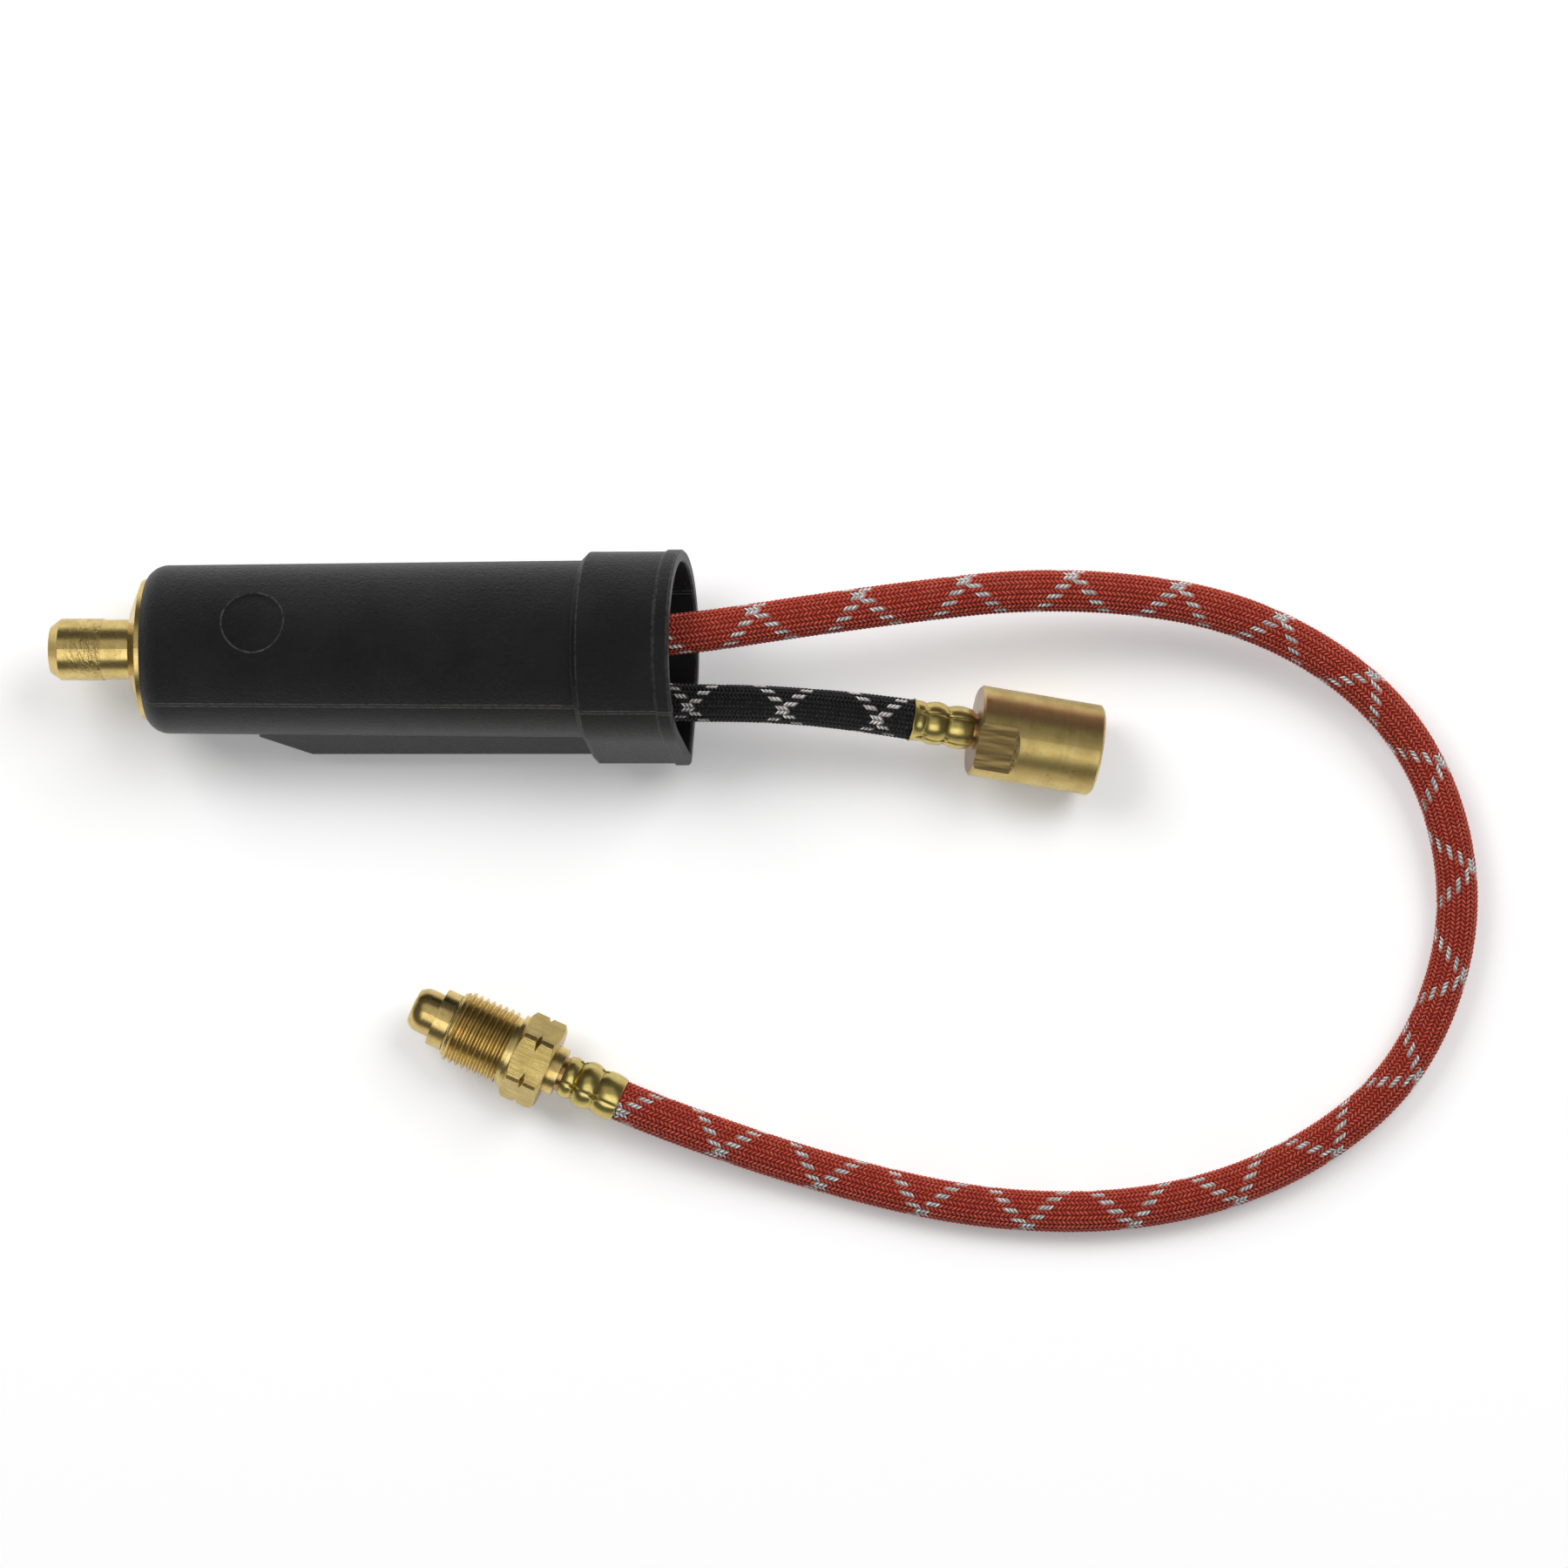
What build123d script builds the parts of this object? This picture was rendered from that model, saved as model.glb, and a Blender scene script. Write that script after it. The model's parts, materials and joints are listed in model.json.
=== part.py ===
from build123d import *
import os
from math import atan2, cos, degrees, pi, radians, sin, tan

# Machine-side connector of a water-cooled TIG torch, lying on a flat surface.
# Millimetres, +Z up. The origin is on the surface, midway along and across the booted plug.
# The plug points to -X. The boot slides rearward along the plug, and the coupling nut turns.
# "Along" distances on the plug are measured rearward from the front face of its flange.

# ---------------------------------------------------------------- shared fits
SLIDE_FIT = 0.05      # radial clearance of a part that slides or turns on another
SEAT_FIT = 0.03       # radial clearance of a part that is seated and stays put
FREE_GAP = 0.3        # gap between neighbours that must never touch
FLOOR_GAP = 0.02      # height of a lying hose above the surface

# ---------------------------------------------------------------- plug
PIN_DIAMETER = 13.0
PIN_LENGTH = 17.5
PIN_TIP_LENGTH = 2.1
PIN_TIP_DROP = 1.5
NECK_LENGTH = 6.4
NECK_RELIEF = 0.2
KEY_WIDTH = 4.0
KEY_LENGTH = 4.2
KEY_SETBACK = 1.4
KEY_RISE = 1.9
FLANGE_DIAMETER = 29.4
FLANGE_FACE_DIAMETER = 19.0
FLANGE_BEVEL_LENGTH = 2.2
FLANGE_THICKNESS = 5.0
BARREL_DIAMETER = 24.0
BARREL_LENGTH = 29.0
SOCKET_DIAMETER = 16.2
SOCKET_DEPTH = 13.0

# ---------------------------------------------------------------- manifold
MANIFOLD_LENGTH = 18.0
MANIFOLD_RELIEF = 0.1
SPIGOT_GAP = 1.0
SEAL_SECTION = 1.8
SEAL_SETBACK = 2.5
PORT_THREAD_DIAMETER = 7.0
PORT_DEPTH = 12.0
RETURN_PORT = (0.6, 6.1)       # to the plug's left, and upward, from its axis
POWER_PORT = (-6.0, -2.2)
GALLERY_DIAMETER = 3.0
GALLERY_SETBACK = 10.0
GALLERY_PLUG_DIAMETER = 4.6
GALLERY_PLUG_LENGTH = 1.5
GALLERY_KEY_WIDTH = 2.0
GALLERY_KEY_DEPTH = 0.8

# ---------------------------------------------------------------- nipples and hoses
NIPPLE_BORE = 3.2
STUB_LENGTH = 7.0
WASHER_THICKNESS = 1.0
WASHER_DIAMETER = 9.9
NIPPLE_COLLAR_DIAMETER = 9.9
NIPPLE_COLLAR_LENGTH = 3.7
NIPPLE_FLATS = 8.6
NIPPLE_NECK_DIAMETER = 6.0
BARB_COUNT = 4
BARB_PITCH = 2.6
BARB_STEP = 0.25
HOSE_DIAMETER = 8.75
BRAID_THICKNESS = 0.7
LINER_WALL = 1.15
CONDUCTOR_DIAMETER = 3.8
CONDUCTOR_INSET = 6.0
FERRULE_LENGTH = 12.9
FERRULE_GRIP = 2.6
FERRULE_LIP = 0.8
RETURN_CROWNS = (9.95, 10.6, 9.4)      # ring diameters from the hose towards the fitting
RETURN_VALLEYS = (9.4, 9.0, 8.7, 8.6)  # diameters at the two ends and between the rings
POWER_CROWNS = (9.4, 9.3, 9.2)
POWER_VALLEYS = (9.4, 8.4, 8.4, 8.2)

# ---------------------------------------------------------------- boot
NOSE_OVERLAP = 1.7
NOSE_EDGE = 0.3
SHOULDER_LENGTH = 4.1
SHOULDER_RISE = 2.3
BOOT_LENGTH = 111.9
BOOT_DRAFT = 0.8
BOOT_WALL = 2.0
RIB_LENGTH = 7.7
RIB_RAMP = 3.0
COLLAR_LENGTH = 20.3
COLLAR_BEVEL = 1.2
COLLAR_RISE = 1.8
COLLAR_WALL = 2.1
COLLAR_STEP = 1.6
LIP_LENGTH = 2.9
LIP_RISE = 0.4
LIP_EDGE = 0.35
MOUTH_SLANT = 4.0
CORNER_ANGLE = 22.5
CORNER_REACH = 26.0
CORNER_ROUND = 2.8
KEEL_START = 26.0
KEEL_RUN = 10.0
KEEL_ANGLE = 24.5
KEEL_RISE = 6.4
KEEL_UPPER = 3.0
KEEL_LOWER = 62.0
KEEL_ROUND = 2.2
BADGE_DIAMETER = 13.0
BADGE_DEPTH = 0.25
BADGE_ALONG = 27.3
BADGE_ANGLE = 18.5

# ---------------------------------------------------------------- bull-nose stem and its nut
NOSE_DIAMETER = 9.6
NOSE_TIP_DIAMETER = 7.2
NOSE_LENGTH = 5.4
STOP_DIAMETER = 12.5
STOP_LENGTH = 3.3
STEM_DIAMETER = 10.4
STEM_TAIL = 2.3
STEM_NECK_DIAMETER = 7.5
STEM_NECK_LENGTH = 0.9
THREAD_DIAMETER = 15.875
THREAD_PITCH = 25.4 / 18
THREAD_DEPTH = 0.866
THREAD_CREST = 0.176
NUT_THREAD_COUNT = 8
NUT_LEAD = 1.4
NUT_LEAD_DROP = 1.0
NUT_UNDERCUT = 0.9
NUT_SHOULDER = 0.9
NUT_SHOULDER_DIAMETER = 16.2
NUT_FLATS = 17.1
NUT_CORNER_DIAMETER = 19.2   # the hexagon's corners are turned down to this
NUT_HEX_LENGTH = 8.0
NUT_BEVEL = 0.9
NOTCH_WIDTH = 1.4
NOTCH_DEPTH = 1.0

# ---------------------------------------------------------------- internally threaded coupler
COUPLER_DIAMETER = 19.05
COUPLER_LENGTH = 26.0
COUPLER_FLATS = 15.9
COUPLER_FLAT_LENGTH = 7.7
COUPLER_FLAT_RUNOUT = 1.0   # slope from the flat up to the full diameter
COUPLER_FLAT_ANGLE = 22.0
COUPLER_BEVEL = 0.5
BORE_DIAMETER = 14.35
BORE_LEAD = 1.0
BORE_RUNOUT = 2.2       # least length behind the last thread
COUPLER_WEB = 2.2       # waterway between the bore's seat and the stem's socket
SEAT_DIAMETER = 11.0
SEAT_DEPTH = 3.6
WATERWAY_DIAMETER = 5.0
POWER_STEM_DIAMETER = 8.0
POWER_STEM_DEPTH = 5.0
POWER_NECK_LENGTH = 0.6
POWER_NECK_DIAMETER = 7.0

# ---------------------------------------------------------------- how it lies
STEM_TIP = (8.0, -72.8)
STEM_YAW = -24.57
COUPLER_MOUTH = (150.8, -19.3)
COUPLER_YAW = -9.5
COUPLER_DROOP = 10.7

# ================================================================ worked out from the sizes
pin_r = PIN_DIAMETER / 2
barrel_r = BARREL_DIAMETER / 2
flange_r = FLANGE_DIAMETER / 2
hose_r = HOSE_DIAMETER / 2
liner_r = hose_r - BRAID_THICKNESS
liner_bore_r = liner_r - LINER_WALL

boot_nose = FLANGE_THICKNESS - NOSE_OVERLAP
shoulder_end = boot_nose + SHOULDER_LENGTH
nose_r = flange_r + FREE_GAP
boot_front_r = nose_r + NOSE_EDGE + SHOULDER_RISE
boot_rear_r = boot_front_r + BOOT_DRAFT
mouth = boot_nose + BOOT_LENGTH
collar_start = mouth - COLLAR_LENGTH
collar_r = boot_rear_r + COLLAR_RISE
lip_r = collar_r + LIP_RISE
rib_start = FLANGE_THICKNESS + FREE_GAP
rib_end = rib_start + RIB_LENGTH
rib_r = barrel_r + SLIDE_FIT

barrel_end = FLANGE_THICKNESS + BARREL_LENGTH
manifold_end = barrel_end + MANIFOLD_LENGTH
washer_end = manifold_end + WASHER_THICKNESS
nipple_neck = washer_end + NIPPLE_COLLAR_LENGTH
inner_ferrule_start = nipple_neck + FREE_GAP
inner_ferrule_end = inner_ferrule_start + FERRULE_LENGTH

# The boot touches the surface under its shoulder, and under its collar's front edge or its lip.
slant = radians(MOUTH_SLANT)
mouth_low_along = mouth + lip_r * sin(slant)
mouth_low_r = lip_r * cos(slant)
collar_low_along = collar_start + COLLAR_BEVEL + collar_r * sin(slant)
collar_low_r = collar_r * cos(slant)
lip_pitch = atan2(mouth_low_r - boot_front_r, mouth_low_along - shoulder_end)
collar_pitch = atan2(collar_low_r - boot_front_r, collar_low_along - shoulder_end)
pitch = max(lip_pitch, collar_pitch)
plug_height = boot_front_r * cos(pitch) - shoulder_end * sin(pitch)
tip_face_r = pin_r - PIN_TIP_DROP
box_front = -PIN_LENGTH * cos(pitch) - tip_face_r * sin(pitch)
box_rear = mouth_low_along * cos(pitch) + mouth_low_r * sin(pitch)
corner_out = (CORNER_REACH - CORNER_ROUND) * cos(radians(CORNER_ANGLE)) + CORNER_ROUND

UP = Vector(0, 0, 1)
plug_along = Vector(cos(pitch), 0, sin(pitch))
plug_origin = Vector(-(box_front + box_rear) / 2, (corner_out - lip_r) / 2, plug_height)

stem_height = NUT_FLATS / 2
stem_yaw = radians(STEM_YAW)
stem_along = Vector(cos(stem_yaw), sin(stem_yaw), 0)
stem_origin = Vector(*STEM_TIP, stem_height)
nut_start = NOSE_LENGTH + STOP_LENGTH + FREE_GAP
nut_thread_end = nut_start + NUT_LEAD + NUT_THREAD_COUNT * THREAD_PITCH
nut_hex_start = nut_thread_end + NUT_UNDERCUT + NUT_SHOULDER
nut_end = nut_hex_start + NUT_HEX_LENGTH
stem_tail_end = nut_end + STEM_TAIL
stem_ferrule_start = stem_tail_end + STEM_NECK_LENGTH
stem_ferrule_end = stem_ferrule_start + FERRULE_LENGTH

coupler_yaw = radians(COUPLER_YAW)
droop = radians(COUPLER_DROOP)
coupler_r = COUPLER_DIAMETER / 2
# This axis runs from the mouth back to the hose, rising.
coupler_along = Vector(-cos(droop) * cos(coupler_yaw), -cos(droop) * sin(coupler_yaw), sin(droop))
coupler_origin = Vector(*COUPLER_MOUTH, coupler_r * cos(droop))
bore_depth = COUPLER_LENGTH - POWER_STEM_DEPTH - COUPLER_WEB - SEAT_DEPTH
bore_thread_count = int((bore_depth - BORE_LEAD - BORE_RUNOUT) / THREAD_PITCH)
power_ferrule_start = COUPLER_LENGTH + POWER_NECK_LENGTH
power_ferrule_end = power_ferrule_start + FERRULE_LENGTH


# ================================================================ planes and outlines
def turning_plane(origin, along):
    """The upright plane through an axis: x runs along it and y rises from it."""
    return Plane(origin=origin, x_dir=along, z_dir=along.cross(UP))


def section_plane(origin, along, distance):
    """The plane square to an axis at a distance along it: x to the left, y upward."""
    return Plane(origin=origin + along * distance, x_dir=UP.cross(along), z_dir=along)


def outline(plane, points):
    """A closed straight-sided outline."""
    with BuildSketch(plane) as shape:
        with BuildLine():
            Polyline(*points, close=True)
        make_face()
    return shape.sketch


def teardrop(plane, radius, corner_radius):
    """A circle about the plug's axis drawn out to one rounded corner, low on its right."""
    reach = CORNER_REACH - CORNER_ROUND
    corner = (-reach * cos(radians(CORNER_ANGLE)), -reach * sin(radians(CORNER_ANGLE)))
    with BuildSketch(plane) as shape:
        Circle(radius)
        with Locations(corner):
            Circle(corner_radius)
        make_hull()
    return shape.sketch


def keel_section(plane, inset):
    """The keel's cross-section, from the plug's axis out to its rounded crest."""
    root = boot_front_r - inset
    crest = root + KEEL_RISE
    upper = (-root * cos(radians(KEEL_UPPER)), -root * sin(radians(KEEL_UPPER)))
    peak = (-crest * cos(radians(KEEL_ANGLE)), -crest * sin(radians(KEEL_ANGLE)))
    lower = (-root * cos(radians(KEEL_LOWER)), -root * sin(radians(KEEL_LOWER)))
    with BuildSketch(plane) as shape:
        with BuildLine():
            Polyline((0, 0), upper, peak, lower, close=True)
        make_face()
        crest_corner = shape.vertices().sort_by_distance(plane.from_local_coords((0, 0, 0)))[-1]
        fillet(crest_corner, max(KEEL_ROUND - inset, 0.6))
    return shape.sketch


def mouth_plane(distance):
    """A plane slanted like the boot's mouth, which is longer underneath."""
    left = UP.cross(plug_along)
    normal = plug_along.rotate(Axis((0, 0, 0), left), -MOUTH_SLANT)
    return Plane(origin=plug_origin + plug_along * distance, x_dir=left, z_dir=normal)


def ferrule_outline(plane, mouth_at, step, crowns, valleys, neck_r):
    """A crimped sleeve's half section; step is +1 or -1 from the hose towards the fitting."""
    ring = FERRULE_LENGTH / 3
    grip_r = hose_r + SEAT_FIT
    bore_r = liner_r + SEAT_FIT
    lip_at = FERRULE_LENGTH - FERRULE_LIP
    at = [mouth_at + step * ring * k for k in range(4)]
    mid = [mouth_at + step * ring * (k + 0.5) for k in range(3)]
    inside = [
        (at[0], valleys[0] / 2),
        (at[0], grip_r),
        (mouth_at + step * FERRULE_GRIP, grip_r),
        (mouth_at + step * FERRULE_GRIP, bore_r),
        (mouth_at + step * lip_at, bore_r),
        (mouth_at + step * lip_at, neck_r + SEAT_FIT),
        (at[3], neck_r + SEAT_FIT),
        (at[3], valleys[3] / 2),
    ]
    with BuildSketch(plane) as shape:
        with BuildLine():
            Polyline(*inside)
            for k in range(3):
                start = (at[k], valleys[k] / 2)
                end = (at[k + 1], valleys[k + 1] / 2)
                ThreePointArc(start, (mid[k], crowns[k] / 2), end)
        make_face()
    return shape.sketch


def barb_points(neck_end, step):
    """The outside of a hose barb, ring by ring, from its neck to its free end."""
    crest = liner_bore_r - SEAT_FIT
    start = neck_end + step * FREE_GAP
    points = [(neck_end, crest - BARB_STEP), (start, crest - BARB_STEP)]
    for k in range(BARB_COUNT):
        ring_start = start + step * BARB_PITCH * k
        points.append((ring_start, crest))
        points.append((ring_start + step * BARB_PITCH, crest - BARB_STEP))
    return points


barb_length = FREE_GAP + BARB_COUNT * BARB_PITCH
plug_plane = turning_plane(plug_origin, plug_along)
plug_axis = Axis(plug_origin, plug_along)
stem_plane = turning_plane(stem_origin, stem_along)
stem_axis = Axis(stem_origin, stem_along)
coupler_plane = turning_plane(coupler_origin, coupler_along)
coupler_axis = Axis(coupler_origin, coupler_along)
plug_left = UP.cross(plug_along)
plug_up = plug_along.cross(plug_left)
return_origin = plug_origin + plug_left * RETURN_PORT[0] + plug_up * RETURN_PORT[1]
power_origin = plug_origin + plug_left * POWER_PORT[0] + plug_up * POWER_PORT[1]
return_plane = turning_plane(return_origin, plug_along)
return_axis = Axis(return_origin, plug_along)
power_plane = turning_plane(power_origin, plug_along)
power_axis = Axis(power_origin, plug_along)

# ================================================================ plug
neck_r = pin_r - NECK_RELIEF
with BuildPart() as connector_plug:
    plug_outline = [
        (-PIN_LENGTH, 0),
        (-PIN_LENGTH, tip_face_r),
        (-PIN_LENGTH + PIN_TIP_LENGTH, pin_r),
        (-NECK_LENGTH, pin_r),
        (-NECK_LENGTH, neck_r),
        (0, neck_r),
        (0, FLANGE_FACE_DIAMETER / 2),
        (FLANGE_BEVEL_LENGTH, flange_r),
        (FLANGE_THICKNESS, flange_r),
        (FLANGE_THICKNESS, barrel_r),
        (barrel_end, barrel_r),
        (barrel_end, SOCKET_DIAMETER / 2),
        (barrel_end - SOCKET_DEPTH - SPIGOT_GAP, SOCKET_DIAMETER / 2),
        (barrel_end - SOCKET_DEPTH - SPIGOT_GAP, 0),
    ]
    revolve(outline(plug_plane, plug_outline), axis=plug_axis)
    # the bayonet key stands on the underside of the smooth neck
    key_front = -KEY_SETBACK - KEY_LENGTH
    with BuildSketch(section_plane(plug_origin, plug_along, key_front)):
        with Locations((0, -(pin_r + KEY_RISE) / 2)):
            Rectangle(KEY_WIDTH, pin_r + KEY_RISE)
    extrude(amount=KEY_LENGTH)

# ================================================================ manifold
spigot_r = SOCKET_DIAMETER / 2 - SEAT_FIT
manifold_r = barrel_r - MANIFOLD_RELIEF
seal_at = barrel_end - SEAL_SETBACK
seal_centre_r = SOCKET_DIAMETER / 2 - SEAT_FIT - SEAL_SECTION / 2
groove_floor_r = seal_centre_r - SEAL_SECTION / 2 - SEAT_FIT
gallery_at = manifold_end - GALLERY_SETBACK
port_line = Vector(RETURN_PORT[0] - POWER_PORT[0], RETURN_PORT[1] - POWER_PORT[1]).normalized()
port_line_along = plug_left * port_line.X + plug_up * port_line.Y
gallery_origin = power_origin + plug_along * gallery_at
offset_square = Vector(*POWER_PORT).dot(port_line)
miss = (Vector(*POWER_PORT) - port_line * offset_square).length
gallery_exit = (manifold_r**2 - miss**2) ** 0.5 - offset_square
plug_edge_miss = miss + GALLERY_PLUG_DIAMETER / 2
gallery_plug_outer = (manifold_r**2 - plug_edge_miss**2) ** 0.5 - offset_square - SEAT_FIT
gallery_plug_inner = gallery_plug_outer - GALLERY_PLUG_LENGTH


def gallery_plane(distance):
    """The plane square to the gallery, at a distance along it from the power port's axis."""
    return Plane(origin=gallery_origin + port_line_along * distance, z_dir=port_line_along)


with BuildPart() as manifold_block:
    block_outline = [
        (barrel_end - SOCKET_DEPTH, 0),
        (barrel_end - SOCKET_DEPTH, spigot_r),
        (seal_at - SEAL_SECTION / 2 - SEAT_FIT, spigot_r),
        (seal_at - SEAL_SECTION / 2 - SEAT_FIT, groove_floor_r),
        (seal_at + SEAL_SECTION / 2 + SEAT_FIT, groove_floor_r),
        (seal_at + SEAL_SECTION / 2 + SEAT_FIT, spigot_r),
        (barrel_end, spigot_r),
        (barrel_end, manifold_r),
        (manifold_end, manifold_r),
        (manifold_end, 0),
    ]
    revolve(outline(plug_plane, block_outline), axis=plug_axis)
    with BuildSketch(section_plane(plug_origin, plug_along, manifold_end)):
        with Locations(RETURN_PORT, POWER_PORT):
            Circle(PORT_THREAD_DIAMETER / 2)
    extrude(amount=-PORT_DEPTH, mode=Mode.SUBTRACT)
    with BuildSketch(gallery_plane(0)):
        Circle(GALLERY_DIAMETER / 2)
    extrude(amount=gallery_exit, mode=Mode.SUBTRACT)
    with BuildSketch(gallery_plane(gallery_plug_inner)):
        Circle(GALLERY_PLUG_DIAMETER / 2)
    extrude(amount=barrel_r, mode=Mode.SUBTRACT)

with BuildPart() as manifold_seal:
    with BuildSketch(plug_plane):
        with Locations((seal_at, seal_centre_r)):
            Circle(SEAL_SECTION / 2)
    revolve(axis=plug_axis)

with BuildPart() as gallery_plug:
    with BuildSketch(gallery_plane(gallery_plug_inner)):
        Circle(GALLERY_PLUG_DIAMETER / 2 - SEAT_FIT)
    extrude(amount=GALLERY_PLUG_LENGTH)
    with BuildSketch(gallery_plane(gallery_plug_outer)):
        RegularPolygon(GALLERY_KEY_WIDTH / 2, 6, major_radius=False)
    extrude(amount=-GALLERY_KEY_DEPTH, mode=Mode.SUBTRACT)

# ================================================================ nipples in the manifold
stub_r = PORT_THREAD_DIAMETER / 2 - SEAT_FIT
nipple_neck_r = NIPPLE_NECK_DIAMETER / 2
conductor_bore_r = CONDUCTOR_DIAMETER / 2 + SEAT_FIT
inner_barb_start = inner_ferrule_start + FERRULE_LIP


def nipple_outline(plane, bore_points):
    """Half section of a hose nipple: threaded stub, collar, neck and barb."""
    outside = [
        (manifold_end - STUB_LENGTH, stub_r),
        (washer_end, stub_r),
        (washer_end, NIPPLE_COLLAR_DIAMETER / 2),
        (nipple_neck, NIPPLE_COLLAR_DIAMETER / 2),
        (nipple_neck, nipple_neck_r),
        (inner_barb_start, nipple_neck_r),
    ]
    return outline(plane, outside + barb_points(inner_barb_start, 1) + bore_points)


def flat_cuts(plane, across, length):
    """Two blocks that leave a pair of spanner flats of the given width between them."""
    with BuildSketch(plane) as shape:
        with Locations((0, across), (0, -across)):
            Rectangle(3 * across, across)
    return extrude(shape.sketch, amount=length, mode=Mode.PRIVATE)


inner_barb_end = inner_barb_start + barb_length
crimp_at = inner_barb_start - CONDUCTOR_INSET
collar_front = section_plane(return_origin, plug_along, washer_end)
with BuildPart() as return_nipple:
    bore = [(inner_barb_end, NIPPLE_BORE / 2), (manifold_end - STUB_LENGTH, NIPPLE_BORE / 2)]
    revolve(nipple_outline(return_plane, bore), axis=return_axis)
    add(flat_cuts(collar_front, NIPPLE_FLATS, NIPPLE_COLLAR_LENGTH), mode=Mode.SUBTRACT)

with BuildPart() as power_nipple:
    crimp_bore = [
        (inner_barb_end, conductor_bore_r),
        (crimp_at, conductor_bore_r),
        (crimp_at, NIPPLE_BORE / 2),
        (manifold_end - STUB_LENGTH, NIPPLE_BORE / 2),
    ]
    revolve(nipple_outline(power_plane, crimp_bore), axis=power_axis)
    power_collar_front = section_plane(power_origin, plug_along, washer_end)
    add(flat_cuts(power_collar_front, NIPPLE_FLATS, NIPPLE_COLLAR_LENGTH), mode=Mode.SUBTRACT)

with BuildPart() as nipple_washers:
    with BuildSketch(section_plane(plug_origin, plug_along, manifold_end)):
        with Locations(RETURN_PORT, POWER_PORT):
            Circle(WASHER_DIAMETER / 2)
            Circle(stub_r + SEAT_FIT, mode=Mode.SUBTRACT)
    extrude(amount=WASHER_THICKNESS)

# ================================================================ ferrules
with BuildPart() as return_inner_ferrule:
    revolve(
        ferrule_outline(
            return_plane, inner_ferrule_end, -1, POWER_CROWNS, POWER_VALLEYS, nipple_neck_r
        ),
        axis=return_axis,
    )

with BuildPart() as power_inner_ferrule:
    revolve(
        ferrule_outline(
            power_plane, inner_ferrule_end, -1, POWER_CROWNS, POWER_VALLEYS, nipple_neck_r
        ),
        axis=power_axis,
    )

with BuildPart() as return_end_ferrule:
    revolve(
        ferrule_outline(
            stem_plane,
            stem_ferrule_end,
            -1,
            RETURN_CROWNS,
            RETURN_VALLEYS,
            STEM_NECK_DIAMETER / 2,
        ),
        axis=stem_axis,
    )

with BuildPart() as power_end_ferrule:
    revolve(
        ferrule_outline(
            coupler_plane,
            power_ferrule_end,
            -1,
            POWER_CROWNS,
            POWER_VALLEYS,
            POWER_NECK_DIAMETER / 2,
        ),
        axis=coupler_axis,
    )

# ================================================================ bull-nose stem
stem_r = STEM_DIAMETER / 2
stem_barb_start = stem_ferrule_start + FERRULE_LIP
nose_sphere_drop = (NOSE_DIAMETER - NOSE_TIP_DIAMETER) / 2
with BuildPart() as bull_nose_stem:
    with BuildSketch(stem_plane):
        with BuildLine():
            TangentArc(
                (NOSE_LENGTH / 2, NOSE_DIAMETER / 2), (0, NOSE_TIP_DIAMETER / 2), tangent=(-1, 0)
            )
            stem_points = [
                (NOSE_LENGTH / 2, NOSE_DIAMETER / 2),
                (NOSE_LENGTH, NOSE_DIAMETER / 2),
                (NOSE_LENGTH, STOP_DIAMETER / 2),
                (NOSE_LENGTH + STOP_LENGTH, STOP_DIAMETER / 2),
                (NOSE_LENGTH + STOP_LENGTH, stem_r),
                (stem_tail_end, stem_r),
                (stem_tail_end, STEM_NECK_DIAMETER / 2),
                (stem_barb_start, STEM_NECK_DIAMETER / 2),
            ]
            stem_points += barb_points(stem_barb_start, 1)
            stem_points += [
                (stem_barb_start + barb_length, NIPPLE_BORE / 2),
                (0, NIPPLE_BORE / 2),
                (0, NOSE_TIP_DIAMETER / 2),
            ]
            Polyline(*stem_points)
        make_face()
    revolve(axis=stem_axis)


# ================================================================ threads
def crest_stations(first, count):
    """Where each thread crest begins and ends along its axis."""
    starts = [first + THREAD_PITCH * k for k in range(count)]
    return [(start, start + THREAD_CREST) for start in starts]


def thread_points(first, count, crest_r, root_r):
    """Crests with V-shaped grooves between them, drawn as rings."""
    points = []
    for begin, end in crest_stations(first, count):
        points += [(begin, crest_r), (end, crest_r), ((end + begin + THREAD_PITCH) / 2, root_r)]
    return points


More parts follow.
